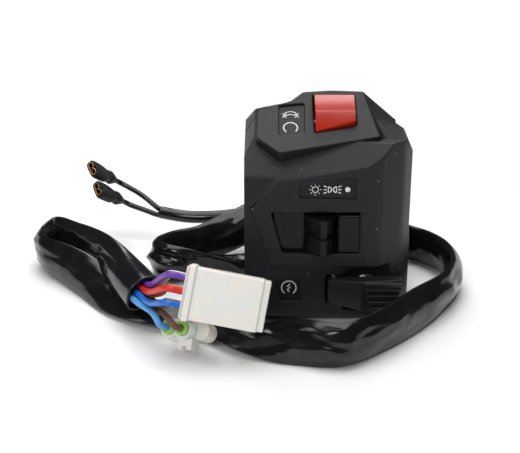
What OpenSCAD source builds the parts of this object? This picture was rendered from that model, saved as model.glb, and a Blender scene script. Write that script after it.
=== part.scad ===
// Right-hand motorbike handlebar switch cluster with its wiring harness.
// Millimetres. The origin is the handlebar's centre line; +X runs along the bar
// towards the grip, +Y away from the rider and +Z up. It stands on its flat foot.

/* [Handlebar] */
// Diameter of the handlebar tube
bar_d = 22.2; // [22:0.1:23]
// Wall between the bar and the switch chamber
bar_wall = 2.6; // [2.2:0.1:3]
// Gap left between the two housing halves once clamped
clamp_gap = 0.6; // [0.4:0.1:1]

/* [Housing] */
// Width along the bar
body_w = 52.5; // [52:0.5:58]
// Bar centre to the rider-side face of the control block
front_reach = 31; // [30.5:0.5:34]
// Bar centre to the far side
back_reach = 18; // [17.5:0.5:21]
// Bar centre above the foot
bar_h = 42; // [41.5:0.5:46]
// Bar centre to the crown
crown_h = 23.3; // [22.8:0.1:24.5]
// Outer wall thickness
wall = 2.4; // [2:0.1:2.6]
// How far the control block stands proud of the face round it
block_raise = 1; // [0.8:0.1:1.3]
// Bar centre to the front edge of the foot
foot_front = 25; // [24:0.5:27]
// Bar centre to the back edge of the foot
foot_back = 4; // [3:0.5:5]
// Height of the undercut chin above the foot
chin_h = 3.5; // [3:0.1:4]
// Width of the rounded flank on the grip side
flank_w = 14.6; // [13:0.2:15.4]
// Depth of the rounded flank on the grip side
flank_d = 15; // [13:0.25:16]

/* [Kill switch] */
// Slope of the kill-switch panel from level
panel_tilt = 30; // [28:1:32]
// Height of the panel's lip above the bar centre
lip_h = 17.5; // [17:0.1:18.5]
// Set-back of the panel's lip from the control block's face
lip_back = 5.4; // [5:0.1:6]
// Width of the rocker
rocker_w = 12.4; // [11.6:0.1:12.8]
// Length of the rocker's long side
rocker_l = 15; // [14.4:0.1:15.6]
// Height of the rocker's ridge above the panel
rocker_ridge = 3.1; // [2.4:0.1:3.6]
// Depth of the rocker's pivot below the panel
rocker_pivot = 4.2; // [4:0.1:4.6]

/* [Light switch] */
// Width of the opening for the light slider along its top edge
light_open_w = 27.3; // [26.5:0.1:28]
// Height of the opening
light_open_h = 13.7; // [13:0.1:14.2]
// Travel of the slider from one click to the next
light_travel = 3; // [2.6:0.1:3]
// Height of the knob above the slider's plate
knob_rise = 7.2; // [6:0.1:8]
// Width of the knob along the bar
knob_w = 10.2; // [9:0.1:10.6]
// Thickness of the slider's plate
plate_t = 1.5; // [1.2:0.1:1.8]

/* [Starter] */
// Length of the starter paddle
paddle_l = 23; // [22:0.1:24]
// Height of the ribbed thumb pad
pad_h = 11; // [10:0.1:12]
// How far the thumb pad stands proud of the control block's face
pad_rise = 4.6; // [4:0.1:5.4]
// Number of ribs on the thumb pad
rib_n = 5; // [4:1:6]
// Depth of the paddle's pocket
pocket_d = 5; // [4.8:0.1:5.6]
// Radius of the stem behind the thumb pad
stem_r = 2; // [1.6:0.1:2.2]

/* [Labels] */
// Thickness of a label plate
label_t = 0.6; // [0.4:0.1:0.8]
// Depth of a label plate's surface below the housing's
label_sink = 0.7; // [0.4:0.1:0.9]

/* [Pins, springs and screws] */
// Radius of the pivot pins
pin_r = 1; // [0.8:0.05:1.1]
// Radius of the detent balls
ball_r = 1.25; // [1:0.05:1.4]
// Shank radius of the housing screws
screw_r = 2.4; // [2:0.1:2.6]
// Shank radius of the small screws that hold the switch bases
base_screw_r = 1; // [0.8:0.05:1.1]

/* [Harness] */
// Width of the main sleeve lying flat
sleeve_w = 14; // [12:0.5:15]
// Thickness of the main sleeve lying flat
sleeve_t = 5.6; // [5:0.1:6.5]
// Wall of the main sleeve at its open mouth
sleeve_wall = 0.8; // [0.6:0.1:1]
// Diameter of one wire
wire_d = 2; // [1.6:0.1:2.2]
// Diameter of the brake-light lead's sleeve
brake_d = 4.6; // [4:0.1:5]
// Length of the six-way connector
six_l = 23; // [21:0.5:24]
// Depth of the six-way connector
six_d = 12; // [11.5:0.1:13]
// Height of the six-way connector
six_h = 16.6; // [16:0.1:18]

/* [Fits] */
// Clearance round parts that move past each other
move_gap = 0.35; // [0.3:0.05:0.4]
// Clearance of a pin in its moving hole
pin_gap = 0.05; // [0.03:0.01:0.08]
// Clearance of a fixed piece in its seat
seat_gap = 0.1; // [0.05:0.01:0.15]

/* [Hidden] */
$fn = 48;

bar_r = bar_d / 2;
tunnel_r = bar_r + bar_wall;
half_w = body_w / 2;
foot_z = -bar_h;
face = front_reach - block_raise;
far = 80;

// General helpers
function unit(v) = v / norm(v);
function flat(p) = [p[0], p[1]];
// One corner of an outline, replaced by an arc of radius r
function corner(a, b, c, r, n) = r <= 0 ? [b] :
  let (u = unit(a - b), v = unit(c - b), half = acos(u * v) / 2)
  let (mid = b + unit(u + v) * r / sin(half), p = b + u * r / tan(half) - mid,
    q = b + v * r / tan(half) - mid)
  let (start = atan2(p[1], p[0]), turn = (atan2(q[1], q[0]) - start + 540) % 360 - 180)
  [for (i = [0:n]) mid + r * [cos(start + turn * i / n), sin(start + turn * i / n)]];
// An outline of [x, y, radius] corners
function rounded(p, n = 5) = let (m = len(p))
  [for (i = [0:m - 1]) each corner(flat(p[(i + m - 1) % m]), flat(p[i]), flat(p[(i + 1) % m]), p[i][2], n)];
// A counter-clockwise outline moved inwards by d, keeping its corner radii
function inset(p, d) = let (m = len(p))
  [for (i = [0:m - 1])
    let (u = unit(flat(p[i]) - flat(p[(i + m - 1) % m])), v = unit(flat(p[(i + 1) % m]) - flat(p[i])))
    let (nu = [-u[1], u[0]], nv = [-v[1], v[0]], at = flat(p[i]) + (nu + nv) * d / (1 + nu * nv))
    [at[0], at[1], p[i][2]]];

// Frames: the rider-side face (x, height, outwards) and the sloping kill panel (x, up the slope, outwards)
module on_face(depth = 0) translate([0, -front_reach + depth, 0]) rotate([90, 0, 0]) children();
lip_y = -front_reach + lip_back;
module on_panel() translate([0, lip_y, lip_h]) rotate([panel_tilt, 0, 0]) children();
module along_x(p) rotate([90, 0, 90]) linear_extrude(far * 2, center = true) polygon(p);
module along_y(p) rotate([90, 0, 0]) linear_extrude(far * 2, center = true) polygon(p);
module along_z(p) linear_extrude(far * 2, center = true) polygon(p);
// Everything on the far side of the plane through q with normal n
module beyond(q, n) translate(q) rotate([0, acos(n[2] / norm(n)), atan2(n[1], n[0])]) translate([-far,
  -far, 0]) cube(far * 2);
// A box from corner a to corner b
module box(a, b) translate(a) cube(b - a);

// Sweeps: a closed tube through a route, with a flattened section that rolls along the way
function tangent(p, i) = unit(p[min(i + 1, len(p) - 1)] - p[max(i - 1, 0)]);
function side(t) = norm(cross(t, [0, 0, 1])) < 0.05 ? [1, 0, 0] : unit(cross(t, [0, 0, 1]));
function ring(c, t, w, h, roll, n) = let (s = side(t), u = cross(s, t))
  let (wide = s * cos(roll) + u * sin(roll), thin = u * cos(roll) - s * sin(roll))
  [for (k = [0:n - 1]) c + wide * w / 2 * cos(360 * k / n) + thin * h / 2 * sin(360 * k / n)];
// Points added between the route's own by a smooth curve through them
function spline(p, i, f) = let (a = p[max(i - 1, 0)], b = p[i], c = p[i + 1], d = p[min(i + 2, len(p) - 1)])
  b + 0.5 * f * (c - a + f * (2 * a - 5 * b + 4 * c - d + f * (3 * (b - c) + d - a)));
function smooth(p, k) = [for (i = [0:len(p) - 2]) for (j = [0:k - 1]) spline(p, i, j / k), p[len(p) - 1]];
module skin(rings, n) {
  m = len(rings);
  polyhedron([for (r = rings) each r], concat(
    [[for (k = [0:n - 1]) k]], [[for (k = [n - 1:-1:0]) (m - 1) * n + k]],
    [for (i = [0:m - 2]) for (k = [0:n - 1])
      each [[i * n + k, (i + 1) * n + k, (i + 1) * n + (k + 1) % n], [i * n + k,
        (i + 1) * n + (k + 1) % n, i * n + (k + 1) % n]]]));
}
module tube(route, d, n = 8, k = 3) {
  p = smooth(route, k);
  skin([for (i = [0:len(p) - 1]) ring(p[i], tangent(p, i), d, d, 0, n)], n);
}
// A compression spring from the origin along +Z
module coil(r, wire, h, turns) {
  steps = turns * 8;
  p = [for (i = [0:steps]) [r * cos(360 * i / 8), r * sin(360 * i / 8), wire / 2 + (h - wire) * i / steps]];
  skin([for (i = [0:steps]) ring(p[i], tangent(p, i), wire, wire, 0, 6)], 6);
}

// Housing outlines
block_top = 7;
brow_h = block_top + block_raise;
back_knee = 27;
back_heel = 36;
back_brow = 9;
back_crown = 4.5;
side_profile = [
  [-foot_front, foot_z, 0], [foot_back, foot_z, 0], [foot_back, -back_heel, 2], [back_reach, -back_knee, 3],
  [back_reach, back_brow, 6], [back_crown, crown_h, 5],
  [-face + crown_h - brow_h, crown_h, 2], [-face, brow_h, 2], [-face, foot_z + chin_h, 1.5]];
// The grip side stands a little wider below the bar
flare = 0.7;
flare_z = -(bar_r + 2);
front_outline = [
  [-half_w, foot_z, 1], [half_w + flare, foot_z, 1.5], [half_w + flare, flare_z - 8, 4], [half_w, flare_z,
    4],
  [half_w, crown_h - 10, 3], [half_w - 10.2, crown_h - 2, 5], [half_w - 15, crown_h, 4],
  [-half_w + 18.5, crown_h, 3], [-half_w + 15, crown_h - 1.8, 3], [-half_w + 3.4, crown_h - 5, 2],
    [-half_w, crown_h - 10.4, 1.5]];
function plan_outline(front) = [
  [-half_w, -front, 1.2], [half_w - flank_w, -front, 3], [half_w - flank_w * 0.7, -front + flank_d * 0.12,
    5],
  [half_w - flank_w * 0.2, -front + flank_d * 0.52, 8], [half_w + flare, -front + flank_d, 6],
  [half_w + flare, back_reach, 3], [-half_w, back_reach, 3]];
// The grip-side shoulder falls away behind the crown
hip_at = [half_w - 10.2, -2.5, crown_h - 1.9];
hip_normal = [0.62, 0.43, 1];
module hip_cut(g) beyond(hip_at - unit(hip_normal) * g, hip_normal);

// Raised platform of the kill panel, in the panel's frame
panel_top = 22.4;
panel_front = [-half_w + 10.85, -4.1];
panel_end = [half_w - 11.15, 2.7];
panel_peak = [half_w - 15.15, panel_top - 1];
function panel_outline(reach) = [
  [-half_w + 3.75, 2.2, 1], [panel_front[0], panel_front[1], 2], [panel_end[0] + reach,
    panel_end[1] + reach * 0.2, 1.5],
  [panel_peak[0] + reach, panel_peak[1], 1], [half_w - 25.6, panel_top, 4], [-half_w + 18.4,
    panel_top - 0.7, 2],
  [-half_w + 14.5, panel_top - 4.6, 1], [-half_w + 4, panel_top - 9, 2]];
panel_skirt = 11;
skirt_way = unit([panel_end[1] - panel_peak[1], panel_peak[0] - panel_end[0]]) * -1;
module skirt_cut() beyond([panel_end[0], panel_end[1], 0], [skirt_way[0], skirt_way[1], 0.9]);
panel_depth = 12;

// Control block on the rider-side face: its top edge rises to the right
block_l = -half_w + 1.75;
block_corner = [-half_w + 9.85, block_top - 0.4];
block_end = [half_w - 14.6, block_top + 4.4];
block_shoulder = [block_l, -2];
block_foot_l = [-half_w + 8, -21];
block_foot = -21.5;
module slope_cut(a, b, pitch) {
  lean = atan2(b[1] - a[1], b[0] - a[0]);
  translate([a[0], -front_reach, a[1]]) rotate([0, -lean, 0]) rotate([pitch, 0, 0]) translate([-far, -far,
    0]) cube(far * 2);
}
valley_pitch = 45;
module control_block() {
  difference() {
    along_y(rounded([[block_foot_l[0], block_foot_l[1], 2], [half_w, block_foot, 0], [half_w, lip_h, 0],
      [block_corner[0] + 4, lip_h, 0], [block_l, block_corner[1], 0], [block_l, block_shoulder[1], 1.5]]));
    box([-far, -far, -far], [far, -front_reach, far]);
    box([-far, lip_y + 4, -far], [far, far, far]);
    slope_cut(block_corner, block_end, valley_pitch);
    slope_cut(block_shoulder, block_corner, valley_pitch);
  }
}
module outer_body() {
  intersection() {
    union() {
      difference() {
        intersection() { along_x(rounded(side_profile)); along_y(rounded(front_outline)); }
        hip_cut(0);
      }
      control_block();
      on_panel() difference() {
        translate([0, 0, -panel_depth]) linear_extrude(panel_depth) polygon(rounded(panel_outline(panel_skirt)));
        skirt_cut();
      }
    }
    along_z(rounded(plan_outline(front_reach)));
  }
}
module chamber() {
  difference() {
    intersection() {
      along_x(rounded(inset(side_profile, wall)));
      along_y(rounded(inset(front_outline, wall)));
      along_z(rounded(inset(plan_outline(face), wall)));
    }
    hip_cut(wall);
  }
  on_panel() translate([0, 0, -panel_depth]) linear_extrude(panel_depth - wall) polygon(rounded(inset(panel_outline(0), wall)));
}
module bar_hole(r) rotate([0, 90, 0]) cylinder(r = r, h = far * 2, center = true);

// Housing screws: two under the bar, along Y; a tab hooks the halves together above it
boss_r = screw_r + 2.2;
head_r = screw_r + 1.9;
head_t = 2.8;
head_y = back_reach - wall - 1;
screw_tip = -9;
low_screw_z = -(tunnel_r + boss_r);
screw_in = 5.2;
housing_screw_at = [[-half_w + screw_in, low_screw_z], [half_w - screw_in, low_screw_z]];
tab_x = -half_w + 12;
tab_w = 5;
tab_low = tunnel_r + 0.6;
tab_t = 1.8;
tab_reach = 4;
module hook_tab() {
  box([tab_x - tab_w / 2, -tab_reach, tab_low], [tab_x + tab_w / 2, wall * 2, tab_low + tab_t]);
  box([tab_x - tab_w / 2, clamp_gap / 2, tunnel_r - wall], [tab_x + tab_w / 2, wall * 2, tab_low + tab_t]);
}
module at_housing_screws() for (p = housing_screw_at) translate([p[0], 0, p[1]]) rotate([-90, 0,
  0]) children();

// Rocker, in the panel's frame
rocker_x = 1.8;
rocker_back = 19.4;
rocker_front = rocker_back - rocker_l;
rocker_slant = 3;
pivot_y = rocker_back - 7.2;
rocker_end_gap = move_gap + 0.6;
function rocker_outline(g, back) = [
  [rocker_x - rocker_w / 2 - g, rocker_front - g], [rocker_x + rocker_w / 2 + g,
    rocker_front + rocker_slant - g],
  [rocker_x + rocker_w / 2 + g, rocker_back + back], [rocker_x - rocker_w / 2 - g, rocker_back + back]];
ridge_y = rocker_front + 6;
hub_w = rocker_w - 4;
hub_bottom = -rocker_pivot - 1.8;
boss_bottom = hub_bottom - 2.8;
detent_r = ball_r + 0.2;
kill_ball_n = boss_bottom - 0.1;
kill_floor = kill_ball_n - ball_r - move_gap;
kill_floor_t = 1.6;
cheek_t = 1.6;
cheek_x = rocker_w / 2 + move_gap;
kill_ear = cheek_x + cheek_t + 2.3;
kill_screw_at = [[rocker_x - kill_ear, pivot_y], [rocker_x + kill_ear, pivot_y]];
base_boss_r = base_screw_r + 1.3;
base_head_r = base_screw_r + 0.9;
base_head_t = 1.2;

// Light slider, on the rider-side face
light_top = -3.2;
light_right = half_w - 17;
light_left = light_right - light_open_w;
light_bottom = light_top - light_open_h;
light_mid = (light_top + light_bottom) / 2;
light_lap = 0.8;
light_outline = rounded([[light_left + 3.6, light_bottom, 1.5], [light_right, light_bottom, 0.4],
  [light_right, light_top, 0.4],
  [light_left, light_top, 0.6]]);
inner_face = -(wall + block_raise);
channel_d = 1.2;
plate_front = inner_face + channel_d - move_gap;
plate_back = plate_front - plate_t;
plate_left = light_left + 0.65;
plate_right = light_right + 0.4;
knob_x = light_right - 11.35;
slide_mid = knob_x - light_travel;
knob_top = light_top - move_gap - 0.8;
knob_bottom = light_bottom + move_gap + 0.4;
knob_right = knob_x + knob_w * 0.45;
stem_w = 8;
stem_h = 6.4;
stem_back = plate_back - 4.4;
light_ball_w = stem_back - 0.1;
slot_floor = light_ball_w - ball_r - move_gap;
light_base_front = plate_back - move_gap;
light_base_back = slot_floor - 2;
light_base_l = slide_mid - 12.4;
light_base_r = slide_mid + 12.4;
slot_half_h = stem_h / 2 + 1.4;
slot_half_w = stem_w / 2 + light_travel + move_gap;
light_screw_at = [[slide_mid - 9.8, light_bottom - light_lap - base_boss_r - 1],
  [slide_mid + 9.8, light_top + light_lap + base_boss_r + 0.6]];
light_ear_t = 2;

// Starter paddle, on the rider-side face
hinge_x = half_w - 24.35;
paddle_tip = hinge_x + paddle_l - 1.9;
pocket_l = hinge_x - 2.7;
pocket_top = block_foot - 0.5;
pocket_bottom = pocket_top - 14.6;
pocket_r = half_w - 5.2;
pocket_wall = 2;
pad_mid = pocket_top - 7.4;
hub_r = pin_r + 1.2;
hinge_w = -pocket_d + hub_r + move_gap;
stem_x = hinge_x + 10.4;
stem_tip = -pocket_d - pocket_wall - 0.4;
stem_hole_r = stem_r + 1;
cap_t = 0.8;
starter_contact_gap = 1.7;
starter_plate_w = stem_tip - cap_t - starter_contact_gap - 0.5;
starter_plate_t = 1.8;
starter_plate_l = 16;
starter_plate_h = 13.6;
starter_screw_at = [[stem_x - 5.6, pad_mid + 4.4], [stem_x + 5.6, pad_mid - 4.4]];
paddle_outline = rounded([
  [hinge_x - 2, pad_mid + 3.9, 0.8], [hinge_x - 2, pad_mid - 3.8, 0.8], [paddle_tip - 5.8,
    pad_mid - pad_h / 2, 1.5],
  [paddle_tip - 3.2, pad_mid - pad_h / 2 + 0.4, 1.5], [paddle_tip, pad_mid + pad_h / 2 - 1.2, 1],
    [paddle_tip - 0.6, pad_mid + pad_h / 2, 0.6],
  [paddle_tip - 13.5, pad_mid + pad_h / 2 - 0.6, 3]]);
pad_back = pad_rise - 4.6;
hub_h = pad_h - 3;
lug_gap = move_gap + 0.55;
paddle_plan = rounded([
  [hinge_x - 2, hinge_w, 0], [hinge_x + 2, hinge_w, 0.5], [hinge_x + 3.4, pad_back - 1.4, 1],
    [hinge_x + 6, pad_back, 1],
  [paddle_tip, pad_back + 0.8, 0.5], [paddle_tip, pad_rise - 0.6, 0.6], [paddle_tip - 13, pad_rise, 2],
  [hinge_x - 2, pad_rise - 3.8, 0.6]]);

// Labels
light_label = rounded([[-9.3, 1.5, 0.8], [light_right - 1.2, 1, 0.8], [light_right - 1.1, 8, 0.8], [-9.6,
  5.4, 0.8]]);
starter_label = rounded([[-14.8, -33.4, 0.6], [-8.8, -33.4, 0.6], [-8.6, -26.1, 0.6], [-17, -26.1, 0.6]]);
kill_label = rounded([[-15.6, 3, 0.6], [-7.8, 3.6, 0.6], [-7.6, 16.8, 0.6], [-15.5, 15.8, 0.6]]);
module label_plate(p) translate([0, 0, -label_sink - label_t]) linear_extrude(label_t) polygon(p);
module label_pocket(p) translate([0, 0, -label_sink - label_t]) linear_extrude(label_sink + label_t + 1) polygon(p);

// Grommets in the back wall
loom_r = 5.2;
loom_at = [-half_w + screw_in + head_r + loom_r + 2.55, -18.5];
brake_r = brake_d / 2 + 0.5;
brake_at = [loom_at[0] + loom_r + brake_r + 3, -19];
grommet_lip = 1.5;
grommet_wall = 1.2;
module at_back(p, y) translate([p[0], y, p[1]]) rotate([-90, 0, 0]) children();

// Fixings inside the halves
module small_boss(at, from) translate([at[0], at[1], from]) cylinder(r = base_boss_r, h = far);
module rear_bosses() {
  at_housing_screws() translate([0, 0, screw_tip - wall]) cylinder(r = boss_r, h = far);
  for (p = light_screw_at) on_face() small_boss(p, light_base_back + light_ear_t);
  for (p = kill_screw_at) on_panel() small_boss(p, kill_floor);
  for (p = starter_screw_at) on_face() small_boss(p, starter_plate_w);
}
pilot_r = screw_r + 0.02;
small_pilot_r = base_screw_r + 0.02;
small_depth = 5.5;
module small_pilot(at, from) translate([at[0], at[1], from - 1]) cylinder(r = small_pilot_r,
  h = small_depth + 1);
module rear_screw_holes() {
  at_housing_screws() translate([0, 0, screw_tip - 0.4]) cylinder(r = pilot_r, h = far);
  for (p = light_screw_at) on_face() small_pilot(p, light_base_back + light_ear_t);
  for (p = kill_screw_at) on_panel() small_pilot(p, kill_floor);
  for (p = starter_screw_at) on_face() translate([p[0], p[1],
    starter_plate_w - 1]) cylinder(r = small_pilot_r, h = small_depth - 0.5);
}
module pocket(g) on_face() translate([pocket_l - g, pocket_bottom - g, -pocket_d - g])
  cube([pocket_r - pocket_l + 2 * g, pocket_top - pocket_bottom + 2 * g, far]);
// Lugs above and below the paddle's hub carry its pin and slope down to the pocket's floor
lug_l = 4.6;
lug_ramp = 5;
lug_w = hinge_w + hub_r;
module paddle_lugs() on_face() for (z = [[pocket_bottom - 1, pad_mid - hub_h / 2 - lug_gap],
  [pad_mid + hub_h / 2 + lug_gap, pocket_top + 1]])
  translate([0, z[0], 0]) rotate([-90, 0, 0]) mirror([0, 1, 0]) linear_extrude(z[1] - z[0])
    polygon([[pocket_l - 1, -pocket_d - 1], [pocket_l - 1, lug_w], [pocket_l + lug_l, lug_w],
      [pocket_l + lug_l + lug_ramp, -pocket_d],
      [pocket_l + lug_l + lug_ramp, -pocket_d - 1]]);
module paddle_pin(r, over) on_face() translate([hinge_x, pocket_bottom - over, hinge_w]) rotate([-90, 0, 0])
  cylinder(r = r, h = pocket_top - pocket_bottom + 2 * over);
module light_channel() on_face() box(
  [plate_left - 2 * light_travel - move_gap, light_bottom - light_lap - move_gap, inner_face - 1],
  [plate_right + move_gap, light_top + light_lap + move_gap, inner_face + channel_d]);
scoop_w = 6.4;
scoop_d = 1.1;
module thumb_scoop() on_face() translate([0, light_bottom + 0.4, 0]) rotate([-90, 0, 0]) mirror([0, 1, 0])
  linear_extrude(light_open_h - 0.8) polygon([[light_right - 1, -scoop_d], [light_right, -scoop_d],
    [light_right + scoop_w, 0],
    [light_right + scoop_w, 2], [light_right - 1, 2]]);

module rear_housing() color("#232427") difference() {
  intersection() {
    outer_body();
    box([-far, -far, -far], [far, -clamp_gap / 2, far]);
  }
  difference() {
    chamber();
    bar_hole(tunnel_r);
    pocket(pocket_wall);
    rear_bosses();
  }
  bar_hole(bar_r);
  difference() {
    pocket(0);
    paddle_lugs();
  }
  rear_screw_holes();
  paddle_pin(pin_r + 0.02, pocket_wall - 0.3);
  on_face() translate([stem_x, pad_mid, -far]) cylinder(r = stem_hole_r, h = far);
  on_panel() translate([0, 0, -wall - 1]) linear_extrude(wall + 6) polygon(rocker_outline(move_gap,
    rocker_end_gap));
  on_face() translate([0, 0, inner_face - 1]) linear_extrude(far) polygon(light_outline);
  light_channel();
  thumb_scoop();
  on_face() label_pocket(light_label);
  on_face(block_raise) label_pocket(starter_label);
  on_panel() label_pocket(kill_label);
}

module front_housing() color("#232427") difference() {
  union() {
    difference() {
      intersection() {
        outer_body();
        box([-far, clamp_gap / 2, -far], [far, far, far]);
      }
      difference() {
        chamber();
        bar_hole(tunnel_r);
        at_housing_screws() cylinder(r = boss_r, h = far);
      }
    }
    hook_tab();
  }
  bar_hole(bar_r);
  at_housing_screws() cylinder(r = screw_r + 0.3, h = far);
  at_housing_screws() translate([0, 0, head_y]) cylinder(r = head_r + 0.3, h = far);
  at_back(loom_at, back_reach - wall - 1) cylinder(r = loom_r + 0.4, h = far);
  at_back(brake_at, back_reach - wall - 1) cylinder(r = brake_r + 0.4, h = far);
}

// Pan head with a cross recess, head upwards at the origin
module screw(r, length, head, thick) {
  translate([0, 0, -length]) cylinder(r = r, h = length);
  difference() {
    cylinder(r = head, h = thick);
    for (a = [0, 90]) rotate([0, 0, a]) translate([-head * 0.55, -head * 0.1,
      thick * 0.5]) cube([head * 1.1, head * 0.2, thick]);
  }
}
module housing_screws() color("#b9bcc0") at_housing_screws() translate([0, 0, head_y]) screw(screw_r,
  head_y - screw_tip, head_r, head_t);
module base_screw(at, floor) translate([at[0], at[1], floor]) mirror([0, 0, 1])
  screw(base_screw_r, small_depth, base_head_r, base_head_t);
module base_screws() color("#c2c4c6") {
  for (p = light_screw_at) on_face() base_screw(p, light_base_back);
  for (p = kill_screw_at) on_panel() base_screw(p, kill_floor - kill_floor_t);
  for (p = starter_screw_at) on_face() base_screw(p, starter_plate_w - starter_plate_t);
}

module kill_label_plate() color("#1d1e20") on_panel() label_plate(kill_label);
module light_label_plate() color("#1d1e20") on_face() label_plate(light_label);
module starter_label_plate() color("#1d1e20") on_face(block_raise) label_plate(starter_label);

// Kill switch: a rocker on a cross pin, with a sprung ball that clicks over the base
contact_t = 0.5;
rocker_floor = -1.8;
rocker_profile = rounded([
  [rocker_front, rocker_floor, 0], [rocker_back, rocker_floor, 0], [rocker_back, 0.6, 0.4],
  [rocker_back - 0.4, 1.5, 0.6], [ridge_y, rocker_ridge, 1.6], [rocker_front, 0.3, 0.8]]);
finger_x = 4;
finger_tip = kill_floor + contact_t + 0.6;
detent_boss_r = detent_r + 0.9;
kill_bore_top = hub_bottom + 0.4;
module kill_rocker() color("#c01f10") on_panel() difference() {
  union() {
    intersection() {
      translate([0, 0, rocker_floor]) linear_extrude(far) polygon(rocker_outline(0, 0));
      along_x(rocker_profile);
    }
    box([rocker_x - hub_w / 2, pivot_y - 3, hub_bottom], [rocker_x + hub_w / 2, pivot_y + 3, rocker_floor]);
    translate([rocker_x, pivot_y, boss_bottom]) cylinder(r = detent_boss_r, h = hub_bottom - boss_bottom);
  }
  translate([0, pivot_y, -rocker_pivot]) rotate([0, 90, 0]) cylinder(r = pin_r + pin_gap, h = far,
    center = true);
  translate([rocker_x, pivot_y, boss_bottom - 1]) cylinder(r = detent_r,
    h = kill_bore_top - boss_bottom + 1);
}
kill_pin_l = 2 * (cheek_x + cheek_t);
module kill_pivot_pin() color("#c8cacc") on_panel() translate([rocker_x, pivot_y,
  -rocker_pivot]) rotate([0, 90, 0])
  cylinder(r = pin_r, h = kill_pin_l, center = true);
spring_wire = 0.35;
module kill_detent_spring() color("#aeb2b6") on_panel() translate([rocker_x, pivot_y,
  kill_ball_n + ball_r + 0.05])
  coil(detent_r - spring_wire, spring_wire, kill_bore_top - kill_ball_n - ball_r - 0.1, 3);
module kill_detent_ball() color("#d5d7d9") on_panel() translate([rocker_x, pivot_y,
  kill_ball_n]) sphere(ball_r);
bridge_t = 0.6;
module kill_contact_bridge() color("#c79a3c") on_panel() difference() {
  union() {
    box([rocker_x - finger_x - 0.8, pivot_y - 1.4, hub_bottom - bridge_t], [rocker_x + finger_x + 0.8,
      pivot_y + 1.4, hub_bottom]);
    for (s = [-1, 1]) translate([rocker_x + s * finger_x, pivot_y, finger_tip])
      translate([-bridge_t / 2, -1.4, 0]) cube([bridge_t, 2.8, hub_bottom - finger_tip]);
    translate([rocker_x, pivot_y, hub_bottom - bridge_t]) cylinder(r = detent_boss_r + 0.8, h = bridge_t);
  }
  translate([rocker_x, pivot_y, -far]) cylinder(r = detent_boss_r + 0.02, h = far);
}
function kill_contact_x(s) = rocker_x + s * finger_x;
module kill_leg(s, g) box([kill_contact_x(s) - 0.4 - g, pivot_y - 1 - g, kill_floor - kill_floor_t - 1.5],
  [kill_contact_x(s) + 0.4 + g, pivot_y + 1 + g, kill_floor]);
module kill_strip(s) box([kill_contact_x(s) - 1.2, pivot_y - 3.2, kill_floor], [kill_contact_x(s) + 1.2,
  pivot_y + 3.2, kill_floor + contact_t]);
module kill_fixed_contacts() color("#c79a3c") on_panel() for (s = [-1, 1]) {
  kill_leg(s, 0);
  kill_strip(s);
}
module kill_switch_base() color("#5b5f56") on_panel() difference() {
  union() {
    box([rocker_x - cheek_x - cheek_t, pivot_y - 6, kill_floor - kill_floor_t],
      [rocker_x + cheek_x + cheek_t, pivot_y + 6, kill_floor]);
    box([rocker_x - kill_ear - base_boss_r, pivot_y - 2.4, kill_floor - kill_floor_t],
      [rocker_x + kill_ear + base_boss_r, pivot_y + 2.4, kill_floor]);
    for (s = [-1, 1]) translate([rocker_x + s * (cheek_x + cheek_t / 2), pivot_y, 0])
      box([-cheek_t / 2, -3, kill_floor], [cheek_t / 2, 3, -wall - 0.2]);
  }
  translate([0, pivot_y, -rocker_pivot]) rotate([0, 90, 0]) cylinder(r = pin_r, h = far, center = true);
  for (p = kill_screw_at) translate([p[0], p[1], -far]) cylinder(r = base_screw_r + seat_gap, h = far);
  for (s = [-1, 1]) kill_leg(s, seat_gap);
}

// Light switch: a sliding knob with a dust plate behind the wall and three clicks
function knob_plan(d) = [
  [knob_x - knob_w * 0.55 + d, plate_front - 0.2], [knob_x + knob_w * 0.45 - d, plate_front - 0.2],
    [knob_x + knob_w * 0.45 - d, plate_front + 1.4],
  [knob_x + 0.8, plate_front + knob_rise - d], [knob_x - 0.8, plate_front + knob_rise - d],
    [knob_x - knob_w * 0.55 + d, plate_front + 1.4]];
module knob_slice(low, high, d) translate([0, low, 0]) rotate([-90, 0, 0]) mirror([0, 1,
  0]) linear_extrude(high - low) polygon(knob_plan(d));
groove_h = 1.1;
light_bore_top = plate_back - 1.2;
module light_slider() color("#1b1c1e") on_face() difference() {
  union() {
    box([plate_left, light_bottom - light_lap, plate_back], [plate_right, light_top + light_lap,
      plate_front]);
    knob_slice(knob_bottom, light_mid - groove_h / 2, 0);
    knob_slice(light_mid - groove_h / 2, light_mid + groove_h / 2, 0.9);
    knob_slice(light_mid + groove_h / 2, knob_top, 0);
    box([knob_x - stem_w / 2, light_mid - stem_h / 2, stem_back], [knob_x + stem_w / 2,
      light_mid + stem_h / 2, plate_back]);
  }
  translate([knob_x, light_mid, stem_back - 1]) cylinder(r = detent_r, h = light_bore_top - stem_back + 1);
}
module light_detent_ball() color("#d5d7d9") on_face() translate([knob_x, light_mid,
  light_ball_w]) sphere(ball_r);
module light_detent_spring() color("#aeb2b6") on_face() translate([knob_x, light_mid,
  light_ball_w + ball_r + 0.05])
  coil(detent_r - spring_wire, spring_wire, light_bore_top - light_ball_w - ball_r - 0.1, 3);
module light_contact_bridge() color("#c79a3c") on_face()
  box([knob_x - 3.2, light_mid - stem_h / 2 - bridge_t, stem_back], [knob_x + 3.2, light_mid - stem_h / 2,
    plate_back - 0.6]);
module light_contact(i, g) {
  x = slide_mid + i * light_travel;
  low = light_mid - slot_half_h;
  box([x - 1.2, low, slot_floor], [x + 1.2, low + contact_t, light_base_front - 0.4]);
  box([x - 1 - g, low - g, light_base_back - 1.6], [x + 1 + g, low + contact_t + g, slot_floor]);
}
module light_fixed_contacts() color("#c79a3c") on_face() for (i = [-1:1]) light_contact(i, 0);
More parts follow.
